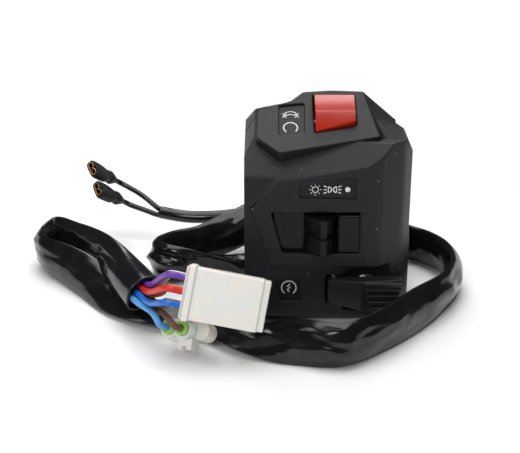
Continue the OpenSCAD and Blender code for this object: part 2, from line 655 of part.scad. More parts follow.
module light_switch_base() color("#5b5f56") on_face() difference() {
  union() {
    box([light_base_l, light_mid - slot_half_h - 2, light_base_back], [light_base_r,
      light_mid + slot_half_h + 2, light_base_front]);
    for (p = light_screw_at)
      box([p[0] - base_boss_r, min(p[1] - base_boss_r, light_mid), light_base_back],
        [p[0] + base_boss_r, max(p[1] + base_boss_r, light_mid), light_base_back + light_ear_t]);
  }
  box([slide_mid - slot_half_w, light_mid - slot_half_h, slot_floor], [slide_mid + slot_half_w,
    light_mid + slot_half_h, far]);
  for (i = [-1:1]) translate([slide_mid + i * light_travel, light_mid,
    slot_floor + ball_r - 0.25]) sphere(ball_r);
  for (p = light_screw_at) translate([p[0], p[1], -far]) cylinder(r = base_screw_r + seat_gap, h = far);
  for (i = [-1:1]) light_contact(i, seat_gap);
}

// A stop insert fills the grip end of the opening, beside the knob's first click
stop_top = light_top - 1.1;
stop_face = -0.3;
stop_edge = 0.5;
module light_stop_block() color("#1b1c1e") on_face() difference() {
  box([knob_right + move_gap, light_bottom + 0.4, plate_front + move_gap], [light_right - 0.02, stop_top,
    stop_face]);
  beyond([0, stop_top - stop_edge, stop_face], [0, 1, 1]);
}

// Starter: a thumb paddle on an upright pin, pushed back out by a coil spring
rib_h = 1;
rib_pitch = (pad_h - 2.6) / (rib_n - 1);
module starter_paddle() color("#1b1c1e") on_face() difference() {
  union() {
    intersection() {
      translate([0, 0, -far]) linear_extrude(far * 2) polygon(paddle_outline);
      translate([0, -far, 0]) rotate([-90, 0, 0]) mirror([0, 1,
        0]) linear_extrude(far * 2) polygon(paddle_plan);
    }
    intersection() {
      translate([0, 0, -far]) linear_extrude(far * 2) polygon(paddle_outline);
      for (i = [0:rib_n - 1]) translate([paddle_tip - 12 + i * 0.5,
        pad_mid + pad_h / 2 - 1.8 - i * rib_pitch, pad_rise - 1])
        cube([far, rib_h, 1.5]);
    }
    translate([hinge_x, pad_mid - hub_h / 2, hinge_w]) rotate([-90, 0, 0]) cylinder(r = hub_r, h = hub_h);
    translate([stem_x, pad_mid, stem_tip]) cylinder(r = stem_r, h = pad_back - stem_tip + 0.6);
  }
  translate([hinge_x, 0, hinge_w]) rotate([90, 0, 0]) cylinder(r = pin_r + pin_gap, h = far * 2,
    center = true);
}
module starter_pivot_pin() color("#c8cacc") paddle_pin(pin_r, pocket_wall - 0.4);
return_wire = 0.6;
return_r = stem_hole_r + 0.5;
module starter_return_spring() color("#aeb2b6") on_face() translate([stem_x, pad_mid, -pocket_d + 0.05])
  coil(return_r, return_wire, pocket_d + pad_back - 0.15, 4);
module starter_contact_cap() color("#c79a3c") on_face() translate([stem_x, pad_mid,
  stem_tip - cap_t]) cylinder(r = stem_r + 0.3, h = cap_t);
module starter_contact(s, g) {
  x = stem_x + s * 1.6;
  box([x - 1, pad_mid - 3, starter_plate_w], [x + 1, pad_mid + 3, starter_plate_w + contact_t]);
  box([x - 0.4 - g, pad_mid - 1 - g, starter_plate_w - starter_plate_t - 1.5], [x + 0.4 + g,
    pad_mid + 1 + g, starter_plate_w]);
}
module starter_fixed_contacts() color("#c79a3c") on_face() for (s = [-1, 1]) starter_contact(s, 0);
module starter_switch_base() color("#5b5f56") on_face() difference() {
  box([stem_x - starter_plate_l / 2, pad_mid - starter_plate_h / 2, starter_plate_w - starter_plate_t],
    [stem_x + starter_plate_l / 2, pad_mid + starter_plate_h / 2, starter_plate_w]);
  for (p = starter_screw_at) translate([p[0], p[1], -far]) cylinder(r = base_screw_r + seat_gap, h = far);
  for (s = [-1, 1]) starter_contact(s, seat_gap);
}

// Leads from the three switches to the grommet
lead_end_y = back_reach + grommet_lip - 0.1;
function in_loom(right, y, up) = [loom_at[0] + right, y, loom_at[1] + up];
kill_route = [[1.8, -12.1, 10.1], [1.8, -15.6, 6], [1.8, -16.4, 1], [0, -15.6, -6], [-4, -13.5, -13],
  [-7.5, -5, -18.5],
  in_loom(0.2, 4, -0.1), in_loom(0, lead_end_y, 0.1)];
light_route = [[slide_mid, -16.8, -14.6], [slide_mid, -15.4, -14.6], [-7, -13, -16.4], [-9, -8, -20.5],
  in_loom(-1.6, 4, -2.9), in_loom(-1.4, lead_end_y, -1.9)];
starter_route = [[stem_x - 1.6, -16.8, -29.4], [stem_x - 1.6, -15.4, -29.4], [8, -13, -29.2], [-1, -8,
  -27.5],
  in_loom(2.2, 4, -4.5), in_loom(1.4, lead_end_y, -1.9)];
lead_d = 2;
module kill_lead() color("#17181a") tube(kill_route, lead_d);
module light_lead() color("#17181a") tube(light_route, lead_d);
module starter_lead() color("#17181a") tube(starter_route, lead_d);
module grommet(at, r) color("#101112") at_back(at, back_reach - wall - grommet_lip) difference() {
  union() {
    cylinder(r = r + 0.9, h = grommet_lip - seat_gap);
    cylinder(r = r + 0.3, h = grommet_lip * 2 + wall);
    translate([0, 0, grommet_lip + wall + 0.02]) cylinder(r = r + 1.4, h = grommet_lip - 0.02);
  }
  translate([0, 0, -1]) cylinder(r = r - grommet_wall, h = far);
}
module loom_grommet() grommet(loom_at, loom_r);
module brake_grommet() grommet(brake_at, brake_r);

// Main sleeve: out of the back, round the housing on the table, and home to its open mouth.
// Each point has its place, the section's width and thickness, and its roll from lying flat.
out_y = back_reach + grommet_lip + 0.1;
straight_y = out_y + 2.6;
function leave(at) = [for (y = [out_y, (out_y + straight_y) / 2, straight_y]) [at[0], y, at[1]]];
mouth = [-58, -33, -29.4];
mouth_roll = 138;
sleeve_route = concat(leave(loom_at), [
  [-10.5, 27.4, -21.4], [-18, 29.6, -25.5], [-29, 26, -31], [-42, 20, -34.6], [-52, 15, -34.8], [-57, 8.5,
    -34.8],
  [-52, 2, -34.8], [-41, 5.5, -36.4], [-29, 11.5, -38.6], [-10, 14.5, -38.8], [10, 15.5, -38.8], [25, 22,
    -35], [35, 19, -35],
  [42.5, 8, -34.8], [44, -5, -34.8], [38, -20, -34.8], [27, -34, -35], [15, -48, -34.8], [3, -57, -34.8],
    [-11, -53, -35.8],
  [-24.5, -45, -38.5], [-36, -34.5, -39.1], [-45, -30, -39.1], [-55, -27.5, -39.1], [-66, -20, -38.4],
    [-78, -8, -36],
  [-88, 2, -35], [-95, 9, -34.8], [-98.5, 18, -34.5], [-94, 24.5, -33.4], [-85, 14, -31.5], [-74, -3, -29],
  [-64, -21, -29.4], mouth]);
sleeve_roll = [0, 0, 0, 0, 40, 60, 85, 90, 90, 90, 45, 5, 0, 0, 80, 85, 85, 85, 90, 75, 85, 85, 60, 12,
  0, 0, 3, 20, 55, 75, 90, 90, 90, 92, 105, 130, mouth_roll];
sleeve_round = [1, 1, 1, 0.8, 0.4, 0.1];
mouth_size = [13.2, 9];
function bulge(i) = i < len(sleeve_round) ? sleeve_round[i] : 0;
function opening(i) = i > len(sleeve_route) - 3 ? 1 : 0;
sleeve_size = [for (i = [0:len(sleeve_route) - 1]) [
  sleeve_w + (2 * loom_r - 1 - sleeve_w) * bulge(i) + (mouth_size[0] - sleeve_w) * opening(i),
  sleeve_t + (2 * loom_r - 1 - sleeve_t) * bulge(i) + (mouth_size[1] - sleeve_t) * opening(i),
    sleeve_roll[i]]];
mouth_rings = 4;
module main_sleeve() color("#0e0f10") {
  p = smooth(sleeve_route, 2);
  s = smooth(sleeve_size, 2);
  m = len(p);
  outer = [for (i = [0:m - 1]) ring(p[i], tangent(p, i), s[i][0], s[i][1], s[i][2], 12)];
  inner = [for (i = [m - 1:-1:m - mouth_rings])
    ring(p[i], tangent(p, i), s[i][0] - 2 * sleeve_wall, s[i][1] - 2 * sleeve_wall, s[i][2], 12)];
  skin(concat(outer, inner), 12);
}

// Brake-light lead: a thin sleeve that ends in two booted spade terminals
brake_route = concat(leave(brake_at), [
  [0, 28.4, -19.5], [-10, 36, -23], [-27.3, 38, -30.2], [-45.4, 38, -31.8], [-58.8, 41, -31]]);
wire_a = [[-59.7, 42.2, -29.7], [-66, 47, -26.4], [-71.5, 50, -24.2], [-75.1, 50.4, -22.3], [-76.7, 48,
  -20.4]];
wire_b = [[-59.4, 40.4, -31.8], [-64.5, 43, -31], [-69.5, 45.6, -30.2], [-72.2, 45.8, -28.9], [-73.9,
  43.5, -27]];
toe_a = unit([-5.3, -8, 6.4]);
toe_b = unit([-6.1, -8, 6.8]);
toe_gap = 0.35;
neck_d = 4;
neck_l = 3;
boot_size = [10, 6.6, 3.6];
spade_w = 5.6;
spade_t = 2.2;
spade_wall = 0.5;
spade_out = 0.4;
spade_roll = -42;
module at_toe(route, t) translate(route[len(route) - 1] + t * toe_gap) rotate([0, 0, atan2(t[1],
  t[0])]) rotate([0, -asin(t[2]), 0])
  rotate([spade_roll, 0, 0]) children();
module both_toes() {
  at_toe(wire_a, toe_a) children();
  at_toe(wire_b, toe_b) children();
}
// A bar of the given section, centred on the x axis
module bar_along(from, to, w, t) box([from, -w / 2, -t / 2], [to, w / 2, t / 2]);
module brake_lead() color("#121314") tube(brake_route, brake_d, 10);
module brake_wires() color("#151617") { tube(wire_a, wire_d, 8, 2); tube(wire_b, wire_d, 8, 2); }
boot_end = neck_l + boot_size[0];
module spade_boots() color("#141516") both_toes() difference() {
  union() {
    rotate([0, 90, 0]) cylinder(d = neck_d, h = neck_l);
    bar_along(neck_l - 0.5, boot_end, boot_size[1], boot_size[2]);
  }
  bar_along(neck_l + 0.4, far, spade_w + 2 * seat_gap, spade_t + 2 * seat_gap);
}
// A receptacle: a flat box with its seam open along the top
module spade_terminals() color("#c9a24a") both_toes() difference() {
  bar_along(neck_l + 0.45, boot_end + spade_out, spade_w, spade_t);
  bar_along(neck_l + 1, far, spade_w - 2 * spade_wall, spade_t - 2 * spade_wall);
  box([neck_l, -spade_wall, 0], [far, spade_wall, far]);
}

// Six-way connector: it leans back across the sleeve, its wires leaving at the left
six_at = [-43.9, -50.6, -20.3];
six_lean = 22;
six_turn = 10.5;
six_rows = [-4.2, 0, 4.2];
six_cols = [-2.8, 2.8];
six_cell = 3.4;
flange_t = 2;
flange_at = 0.8;
latch_h = 0.6;
nose_l = 2;
nose_in = 0.8;
shell_in = 0.5;
cell_from = 4;
module at_six() translate(six_at) rotate([-six_lean, 0, 0]) rotate([0, six_turn, 0]) children();
function six_spot(x, y, z) = six_at + [cos(six_turn), -sin(six_turn) * sin(six_lean),
  -sin(six_turn) * cos(six_lean)] * x
  + [0, cos(six_lean), -sin(six_lean)] * y + [sin(six_turn), cos(six_turn) * sin(six_lean),
    cos(six_turn) * cos(six_lean)] * z;
module six_cells() for (y = six_cols) for (z = six_rows) translate([0, y, z]) children();
module six_way_shell() color("#e9e8e2") at_six() difference() {
  union() {
    bar_along(0, six_l, six_d - 2 * shell_in, six_h - 2 * shell_in);
    bar_along(flange_at, flange_at + flange_t, six_d, six_h);
    bar_along(six_l - 1, six_l + nose_l, six_d - 2 * nose_in, six_h - 2 * nose_in);
    box([6, six_d / 2 - 1, -1.6], [15, six_d / 2 + latch_h, 1.6]);
  }
  six_cells() bar_along(cell_from, far, six_cell, six_cell);
  six_cells() rotate([0, 90, 0]) translate([0, 0, -1]) cylinder(d = wire_d + 2 * seat_gap,
    h = cell_from + 2);
}
module six_way_terminals() color("#c9a24a") at_six() six_cells() difference() {
  bar_along(cell_from + seat_gap, cell_from + 13, six_cell - 0.8, six_cell - 0.8);
  bar_along(cell_from + 5, far, six_cell - 1.6, six_cell - 1.6);
}
// A wire from inside the sleeve's mouth by one free point to its cell, ending at the terminal.
// In the mouth the wires lie in two columns, in rows along the mouth's width.
mouth_way = unit([1, -2, 0]);
mouth_side = [-mouth_way[1], mouth_way[0], 0];
mouth_across = -cos(mouth_roll) * mouth_side + [0, 0, sin(mouth_roll)];
mouth_proud = sin(mouth_roll) * mouth_side + [0, 0, cos(mouth_roll)];
mouth_col = wire_d / 2 + 0.08;
mouth_row = wire_d + 0.16;
mouth_in = 7;
function in_mouth(along, col, row) = mouth + mouth_way * along + mouth_proud * (col * mouth_col) + mouth_across * (row * mouth_row);
function leave_mouth(col, row) = [in_mouth(-mouth_in, col, row), in_mouth(1, col, row)];
function six_wire(spot, free, col, row) = concat(leave_mouth(spot[0], spot[1]), [free],
  [for (x = [-5, -0.5, cell_from]) six_spot(x, six_cols[col], six_rows[row])]);
module wire_purple() color("#6a3d86") tube(six_wire([-1, 1.5], [-52.4, -44, -20.2], 0, 2), wire_d);
module wire_red() color("#c9201a") tube(six_wire([-1, 0.5], [-54, -44.6, -23.4], 0, 1), wire_d);
module wire_blue() color("#1d3fa8") tube(six_wire([-1, -0.5], [-54.4, -45, -27], 0, 0), wire_d);
module wire_white() color("#e6e2da") tube(six_wire([1, 1.5], [-50, -41.2, -20.6], 1, 2), wire_d);
module wire_orange() color("#e2721b") tube(six_wire([1, 0.5], [-51.4, -42.2, -24.9], 1, 1), wire_d);
module wire_grey() color("#7d8084") tube(six_wire([1, -0.5], [-50.2, -41.4, -29.6], 1, 0), wire_d);

// Two-way sealed connector below the six-way one, its seals turned to the front
two_at = [-46.6, -50.5, -32.6];
two_yaw = 57;
two_pitch = 33;
two_roll = -12;
two_l = 9.4;
two_h = 6.4;
two_d = 9.4;
two_cells = [-2.4, 2.4];
two_cell = 3;
seal_d = 4.3;
collar_l = 2.5;
collar_t = 0.7;
seal_l = 5;
seal_out = 1.2;
lobe_r = 2.8;
lobe_y = -two_d / 2 - 1.7;
module at_two() translate(two_at) rotate([0, 0, two_yaw]) rotate([0, two_pitch, 0]) rotate([two_roll, 0,
  0]) children();
// The connector's own length and width as directions
two_along = [cos(two_pitch) * cos(two_yaw), cos(two_pitch) * sin(two_yaw), -sin(two_pitch)];
two_across = cos(two_roll) * [-sin(two_yaw), cos(two_yaw), 0]
  + sin(two_roll) * [sin(two_pitch) * cos(two_yaw), sin(two_pitch) * sin(two_yaw), cos(two_pitch)];
function two_spot(x, y) = two_at + two_along * x + two_across * y;
module lying(from) translate([from, 0, 0]) rotate([0, 90, 0]) children();
clip = [[1.5, -two_d / 2 - 0.5, -two_h / 2 - 2.8], [6, -0.4, -two_h / 2 + 0.5]];
clip_slot = 1.4;
module two_way_shell() color("#edece6") at_two() difference() {
  union() {
    bar_along(collar_l - 0.5, two_l, two_d, two_h);
    translate([0, lobe_y, 0]) lying(4) cylinder(r = lobe_r, h = 5);
    box([4, lobe_y, -lobe_r * 0.6], [8.5, 0, lobe_r * 0.6]);
    for (y = two_cells) translate([0, y, 0]) lying(0) cylinder(d = seal_d + 2 * (seat_gap + collar_t),
      h = collar_l);
  }
  for (y = two_cells) translate([0, y, 0]) {
    lying(-1) cylinder(d = seal_d + 2 * seat_gap, h = seal_l);
    bar_along(seal_l - 1.5, far, two_cell, two_cell);
  }
  box([clip[0][0] - seat_gap, clip[0][1] - seat_gap, -far], clip[1] + [seat_gap, seat_gap, seat_gap]);
}
module two_way_lock() color("#f2f1ec") at_two() difference() {
  box(clip[0], clip[1]);
  box([-far, (clip[0][1] + clip[1][1] - clip_slot) / 2, -far], [far,
    (clip[0][1] + clip[1][1] + clip_slot) / 2, clip[0][2] + 1]);
}
module two_way_seals() color("#8fc46a") at_two() for (y = two_cells) translate([0, y,
  0]) lying(-seal_out) difference() {
  cylinder(d = seal_d, h = seal_l);
  translate([0, 0, -1]) cylinder(d = wire_d + 2 * seat_gap, h = far);
}
terminal_from = seal_l - seal_out + 0.1;
module two_way_terminals() color("#c9a24a") at_two() for (y = two_cells) translate([0, y, 0])
  bar_along(terminal_from, two_l - 1, two_cell - 0.6, two_cell - 0.6);
function two_wire(spot, free, cell) = concat(leave_mouth(spot[0], spot[1]), free,
  [for (x = [-5, -0.5, terminal_from - 0.1]) two_spot(x, two_cells[cell])]);
module wire_brown() color("#5a3a26") tube(two_wire([1, -1.5], [[-52.8, -42.4, -31], [-50.2, -50.6,
  -27.6]], 0), wire_d);
module wire_sky() color("#3f8fd0") tube(two_wire([-1, -1.5], [[-55, -43.4, -30.2], [-52.8, -50, -28.8]],
  1), wire_d);

rear_housing();
front_housing();
housing_screws();
kill_label_plate();
light_label_plate();
starter_label_plate();
kill_rocker();
kill_pivot_pin();
kill_detent_spring();
kill_detent_ball();
kill_contact_bridge();
kill_switch_base();
kill_fixed_contacts();
light_slider();
light_detent_spring();
light_detent_ball();
light_contact_bridge();
light_switch_base();
light_fixed_contacts();
light_stop_block();
starter_paddle();
starter_pivot_pin();
starter_return_spring();
starter_contact_cap();
starter_switch_base();
starter_fixed_contacts();
base_screws();
kill_lead();
light_lead();
starter_lead();
loom_grommet();
brake_grommet();
main_sleeve();
brake_lead();
brake_wires();
spade_boots();
spade_terminals();
six_way_shell();
six_way_terminals();
wire_purple();
wire_red();
wire_orange();
wire_blue();
wire_white();
wire_grey();
two_way_shell();
two_way_lock();
two_way_seals();
two_way_terminals();
wire_brown();
wire_sky();
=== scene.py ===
# %% [markdown]
# # A motorbike handlebar switch cluster
#
# The packed model gives the two housing halves, the three controls and the works inside.
# This script adds what a moulding shop and a wiring bench add: grained plastic, printed
# symbols, soft shiny tubing, coloured wires and milky connectors.

import math

import bpy
from mathutils import Matrix, Vector, noise


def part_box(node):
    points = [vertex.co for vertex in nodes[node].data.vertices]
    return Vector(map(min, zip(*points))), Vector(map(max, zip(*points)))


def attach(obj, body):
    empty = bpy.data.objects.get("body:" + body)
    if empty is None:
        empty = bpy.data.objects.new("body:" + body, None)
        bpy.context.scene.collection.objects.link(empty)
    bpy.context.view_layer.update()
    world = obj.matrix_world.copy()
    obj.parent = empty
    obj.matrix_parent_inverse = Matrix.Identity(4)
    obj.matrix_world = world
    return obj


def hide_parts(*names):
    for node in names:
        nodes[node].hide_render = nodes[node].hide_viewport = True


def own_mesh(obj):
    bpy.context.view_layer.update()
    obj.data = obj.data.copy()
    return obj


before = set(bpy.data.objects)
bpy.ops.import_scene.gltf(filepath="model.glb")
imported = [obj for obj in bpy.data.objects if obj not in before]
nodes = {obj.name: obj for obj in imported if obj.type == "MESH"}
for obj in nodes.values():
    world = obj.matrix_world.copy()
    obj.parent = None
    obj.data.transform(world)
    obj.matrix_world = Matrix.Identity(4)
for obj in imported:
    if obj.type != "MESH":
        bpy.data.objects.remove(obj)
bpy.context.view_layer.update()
scene = bpy.context.scene
MM = 0.001

# %% [markdown]
# ## The camera and the studio
#
# The photograph looks down by about 22 degrees, straight at the rider's side, with a long
# lens. The lens comes from the picture's width of 520 pixels: a focal length in pixels
# turns into millimetres on a 36 mm sensor. The studio is a white table under soft boxes.

# %% The camera
PHOTO_WIDTH = 520
ELEVATION = math.radians(22)
DISTANCE = 0.350
TARGET = Vector((-21.4, -28.0, -8.9)) * MM
FOCAL_PIXELS = 1129
SENSOR = 36
NEAREST = 0.01

look = Vector((0, math.cos(ELEVATION), -math.sin(ELEVATION)))
bpy.ops.object.camera_add(location=TARGET - look * DISTANCE, rotation=(math.pi / 2 - ELEVATION, 0, 0))
camera = bpy.context.object
camera.name = "photo_camera"
camera.data.sensor_width = SENSOR
camera.data.lens = FOCAL_PIXELS * SENSOR / PHOTO_WIDTH
camera.data.clip_start = NEAREST
scene.camera = camera
scene.view_settings.view_transform = "Standard"
print("camera lens", round(camera.data.lens, 1), "mm")

# %% [markdown]
# ## Table and lamps
#
# A photo like this is taken on a white table under soft boxes. A picture of a studio could
# light it too, but lamps can be moved one by one until each highlight sits where the photo has
# it. The large one overhead lights the tops, a strip behind draws pale lines on the edges, and
# a weak front one keeps the connectors from going grey. The table is wide, so that a low camera
# sees it as far as it looks.

# %% The table, the light and the white surroundings
FLOOR_Z = -42.1 * MM
FLOOR_SIZE = 12
AMBIENT = 0.06
LAMP_TARGET = Vector((-0.02, -0.03, 0))
# Place and size in metres, and power in watts
LAMPS = [
    ("overhead", (-0.04, -0.02, 0.55), (0.55, 0.7), 3.9),
    ("left_side", (-0.55, -0.20, 0.22), (0.12, 0.35), 0.4),
    ("front_fill", (-0.25, -0.70, 0.45), (0.30, 0.30), 2.1),
    ("back_strip", (0, 0.50, 0.52), (0.60, 0.25), 2.2),
]


def soft_box(name, place, size, power):
    """A rectangular lamp of the given size that faces the object."""
    bpy.ops.object.light_add(type="AREA", location=place)
    lamp = bpy.context.object
    lamp.name = name
    lamp.data.shape = "RECTANGLE"
    lamp.data.size, lamp.data.size_y = size
    lamp.data.energy = power
    lamp.rotation_euler = (LAMP_TARGET - Vector(place)).to_track_quat("-Z", "Y").to_euler()


for lamp_row in LAMPS:
    soft_box(*lamp_row)

bpy.ops.mesh.primitive_plane_add(size=FLOOR_SIZE, location=(0, 0, FLOOR_Z))
table = bpy.context.object
table.name = "table_top"

world = bpy.data.worlds.new("white_room")
scene.world = world
world.use_nodes = True
world.node_tree.nodes["Background"].inputs["Color"].default_value = (1, 1, 1, 1)
world.node_tree.nodes["Background"].inputs["Strength"].default_value = AMBIENT
print("studio ready with", len(LAMPS), "lamps")

# %% [markdown]
# ## Shader formulas written as Python
#
# A finish is easier to read as a formula than as a web of nodes. `Socket` wraps one output
# and turns Python's operators into Math nodes. `Finish` owns a material: its constant
# values go straight on the shader, and its `node` method adds any other node.


# %% One shader value
class Socket:
    """One shader value, with Python's operators."""

    def __init__(self, finish, output):
        self.finish = finish
        self.output = output

    def math(self, operation, *others):
        node = self.finish.node("ShaderNodeMath", {"operation": operation}, self, *others)
        return node["Value"]

    def __add__(self, other):
        return self.math("ADD", other)

    def __rsub__(self, other):
        return self.finish.node("ShaderNodeMath", {"operation": "SUBTRACT"}, other, self)["Value"]

    def __mul__(self, other):
        return self.math("MULTIPLY", other)

    def over(self, limit):
        return self.math("GREATER_THAN", limit)

    __radd__ = __add__
    __rmul__ = __mul__


class Outputs:
    """A new node's outputs by name."""

    def __init__(self, finish, node):
        self.finish = finish
        self.outputs = node.outputs

    def __getitem__(self, name):
        return Socket(self.finish, self.outputs[name])


print("shader values take + - * and over")


# %% A finish
EDGE_SAMPLES = 6
# Cosines of the turn from the true normal at which an edge is fully pale, with painted highlight and wear,
# and at which it is still plain
EDGE_PALE_AT, PLAIN_AT = 0.84, 0.99


class Finish:
    """A material: constants on the shader, and formulas for what changes over the surface."""

    def __init__(self, name, **constants):
        self.material = bpy.data.materials.new(name)
        self.material.use_nodes = True
        self.tree = self.material.node_tree
        self.shader = self.tree.nodes["Principled BSDF"]
        for key, value in constants.items():
            self.set(self.shader.inputs[key.replace("_", " ")], value)

    def set(self, socket, value):
        if isinstance(value, Socket):
            self.tree.links.new(value.output, socket)
        elif isinstance(value, (tuple, list)) and socket.type == "RGBA":
            socket.default_value = (*value, 1)[:4]
        else:
            socket.default_value = value

    def node(self, kind, settings=None, *values, **named):
        node = self.tree.nodes.new(kind)
        for key, value in (settings or {}).items():
            setattr(node, key, value)
        for socket, value in zip(node.inputs, values):
            self.set(socket, value)
        for key, value in named.items():
            self.set(node.inputs[key.replace("_", " ")], value)
        return Outputs(self, node)

    def feed(self, **sockets):
        for key, value in sockets.items():
            self.set(self.shader.inputs[key.replace("_", " ")], value)

    def place(self, scale=(1, 1, 1)):
        """Object coordinates in millimetres."""
        coords = self.node("ShaderNodeTexCoord")["Object"]
        size = tuple(s / MM for s in scale)
        return self.node("ShaderNodeMapping", None, Vector=coords, Scale=size)["Vector"]

    def noise(self, where, scale, detail=2.0, rough=0.5):
        named = {"Vector": where, "Scale": scale, "Detail": detail, "Roughness": rough}
        return self.node("ShaderNodeTexNoise", None, **named)["Fac"]

    def cells(self, where, scale):
        return self.node("ShaderNodeTexVoronoi", None, Vector=where, Scale=scale)

    def between(self, value, low, high, to_low=0.0, to_high=1.0):
        settings = {"interpolation_type": "SMOOTHSTEP"}
        named = {"Value": value, "From_Min": low, "From_Max": high, "To_Min": to_low, "To_Max": to_high}
        return self.node("ShaderNodeMapRange", settings, **named)["Result"]

    def mix(self, factor, first, second):
        node = self.tree.nodes.new("ShaderNodeMix")
        node.data_type = "RGBA"
        colours = [s for s in node.inputs if s.type == "RGBA"]
        self.set(node.inputs[0], factor)
        self.set(colours[0], first)
        self.set(colours[1], second)
        return Socket(self, next(s for s in node.outputs if s.type == "RGBA"))

    def bump(self, height, depth, normal=None):
        """A bump whose height is a value from 0 to 1 and whose depth is in millimetres."""
        named = {"Normal": normal} if normal else {}
        named.update(Height=height, Strength=1.0, Distance=depth * MM)
        return self.node("ShaderNodeBump", None, **named)["Normal"]

    def round_edges(self, radius):
        return self.node("ShaderNodeBevel", {"samples": EDGE_SAMPLES}, Radius=radius * MM)["Normal"]

    def edge_highlight_and_wear(self, rounded):
        """1 where a rounded normal leaves the true one, so along the edges: the mask of the painted edge
        highlight and wear.
        """
        true_normal = self.node("ShaderNodeNewGeometry")["Normal"]
        same = self.node("ShaderNodeVectorMath", {"operation": "DOT_PRODUCT"}, rounded, true_normal)["Value"]
        return 1 - self.between(same, EDGE_PALE_AT, PLAIN_AT)


print("a finish can use", len([name for name in vars(Finish) if not name.startswith("_")]), "helpers")

# %% [markdown]
# ## Finishes of the hard pieces
#
# The housing is moulded nylon with a spark-eroded grain: a fine bump and a little dust.
# The knobs are the same plastic, polished. Metal is plated steel and plain brass. A painted
# picture could give all this, but noise has no seams and needs no file, so it is used here.

# %% Grained plastic
# Share of the pale edge colour: painted edge highlight and wear
EDGE_HIGHLIGHT_AND_WEAR = 0.8
DUST_GREY = (0.5, 0.5, 0.48)


def grained_plastic(name, colour, roughness, grain, dust, edge, shine=0.5):
    """Moulded plastic: grain, faint patches, dust specks and pale edges, which are painted highlight and
    wear. Scales are per millimetre.
    """
    finish = Finish(name, Metallic=0.0, Specular_IOR_Level=shine)
    where = finish.place()
    coarse = finish.noise(where, 2.6, 3.0, 0.6)
    patches = finish.noise(where, 0.12, 2.0)
    specks = finish.cells(where, 0.34)
    near = 1 - finish.between(specks["Distance"], 0.045, 0.075)
    chosen = finish.node("ShaderNodeSeparateColor", None, specks["Color"])["Red"].over(1 - dust)
    speck = near * chosen
    plain = finish.mix(patches, tuple(c * 0.85 for c in colour), tuple(c * 1.2 for c in colour))
    rounded = finish.round_edges(edge) if edge else None
    if edge:
        # Pale edges: painted edge highlight and wear, a lighter colour along every rounded edge
        plain = finish.mix(finish.edge_highlight_and_wear(rounded) * EDGE_HIGHLIGHT_AND_WEAR, plain, tuple(c * 3 + 0.015 for c in colour))
    finish.feed(
        Base_Color=finish.mix(speck * 0.6, plain, DUST_GREY),
        Roughness=finish.between(coarse, 0.3, 0.7, roughness - grain, roughness + grain) + speck * 0.2,
        Normal=finish.bump(coarse, grain, rounded),
    )
    return finish.material


# Colour, roughness, grain, share of dust, edge radius in millimetres and shine
housing_black = grained_plastic("housing_black", (0.008, 0.008, 0.010), 0.46, 0.06, 0.22, 0.5, 0.3)
label_black = grained_plastic("label_black", (0.007, 0.007, 0.008), 0.42, 0.02, 0.03, 0.1, 0.25)
knob_black = grained_plastic("knob_black", (0.004, 0.004, 0.005), 0.24, 0.002, 0.05, 0, 0.2)
paddle_black = grained_plastic("paddle_black", (0.010, 0.010, 0.012), 0.36, 0.004, 0.05, 0, 0.45)
base_grey = grained_plastic("base_grey", (0.20, 0.21, 0.18), 0.5, 0.02, 0.0, 0.15)
rubber_black = grained_plastic("rubber_black", (0.009, 0.009, 0.009), 0.6, 0.02, 0.03, 0.3, 0.3)
seal_green = grained_plastic("seal_green", (0.30, 0.55, 0.13), 0.4, 0.01, 0.0, 0.3)
print("plastics made:", len(bpy.data.materials))


# %% Plated metal
def plated_metal(name, colour, roughness):
    """Metal with fine streaks, as drawn wire and rolled sheet have."""
    finish = Finish(name, Metallic=1.0)
    where = finish.place((1, 1, 6))
    streaks = finish.noise(where, 1.4, 3.0)
    finish.feed(
        Base_Color=finish.mix(streaks, tuple(c * 0.8 for c in colour), colour),
        Roughness=finish.between(streaks, 0.3, 0.7, roughness - 0.08, roughness + 0.1),
        Normal=finish.bump(streaks, 0.01, finish.round_edges(0.1)),
    )
    return finish.material


steel = plated_metal("zinc_steel", (0.62, 0.63, 0.65), 0.34)
spring_steel = plated_metal("spring_steel", (0.5, 0.5, 0.52), 0.3)
brass = plated_metal("brass", (0.78, 0.55, 0.22), 0.3)
print("finishes so far:", len(bpy.data.materials))


# %% The red and the milky plastic
def glossy_red():
    """The stop rocker: clear deep red, faintly cloudy, with a polished skin."""
    finish = Finish("rocker_red", Metallic=0.0, Specular_IOR_Level=0.25, Coat_Roughness=0.12, IOR=1.5)
    where = finish.place()
    cloud = finish.noise(where, 0.5, 2.0)
    finish.feed(
        Base_Color=finish.mix(cloud, (0.34, 0.012, 0.002), (0.42, 0.018, 0.004)),
        Roughness=finish.between(finish.noise(where, 1.2, 3.0), 0.3, 0.7, 0.16, 0.26),
        Coat_Weight=finish.between(cloud, 0.3, 0.7, 0.35, 0.5),
        Normal=finish.round_edges(0.7),
    )
    return finish.material


rocker_red = glossy_red()


def milky_nylon():
    """The connectors: translucent natural nylon, with warmer patches as if brass shone through."""
    finish = Finish("milky_nylon", Metallic=0.0, Subsurface_Weight=0.35, Subsurface_Scale=0.002, IOR=1.5)
    where = finish.place()
    cloud = finish.noise(where, 0.16, 2.0)
    glow = finish.between(finish.noise(where, 0.16, 1.0), 0.40, 0.70)
    plain = finish.mix(cloud, (0.76, 0.75, 0.72), (0.84, 0.83, 0.81))
    finish.feed(
        Base_Color=finish.mix(glow * 0.3, plain, (0.88, 0.74, 0.60)),
        Roughness=finish.between(cloud, 0.3, 0.7, 0.30, 0.42),
        Normal=finish.bump(finish.noise(where, 1.5, 2.0), 0.01),
    )
    return finish.material


nylon = milky_nylon()
print("hard finishes made:", len(bpy.data.materials))

# %% [markdown]
# ## Dressing the packed solids
#
# The packed solids have the right shape, but facets and sharp edges, and a moulded edge has a
# small radius. That radius could be cut into the solids, which would make them heavy. Here
# their meshes stay as they are: modifiers weld the facets, join the flat ones and round the edges.

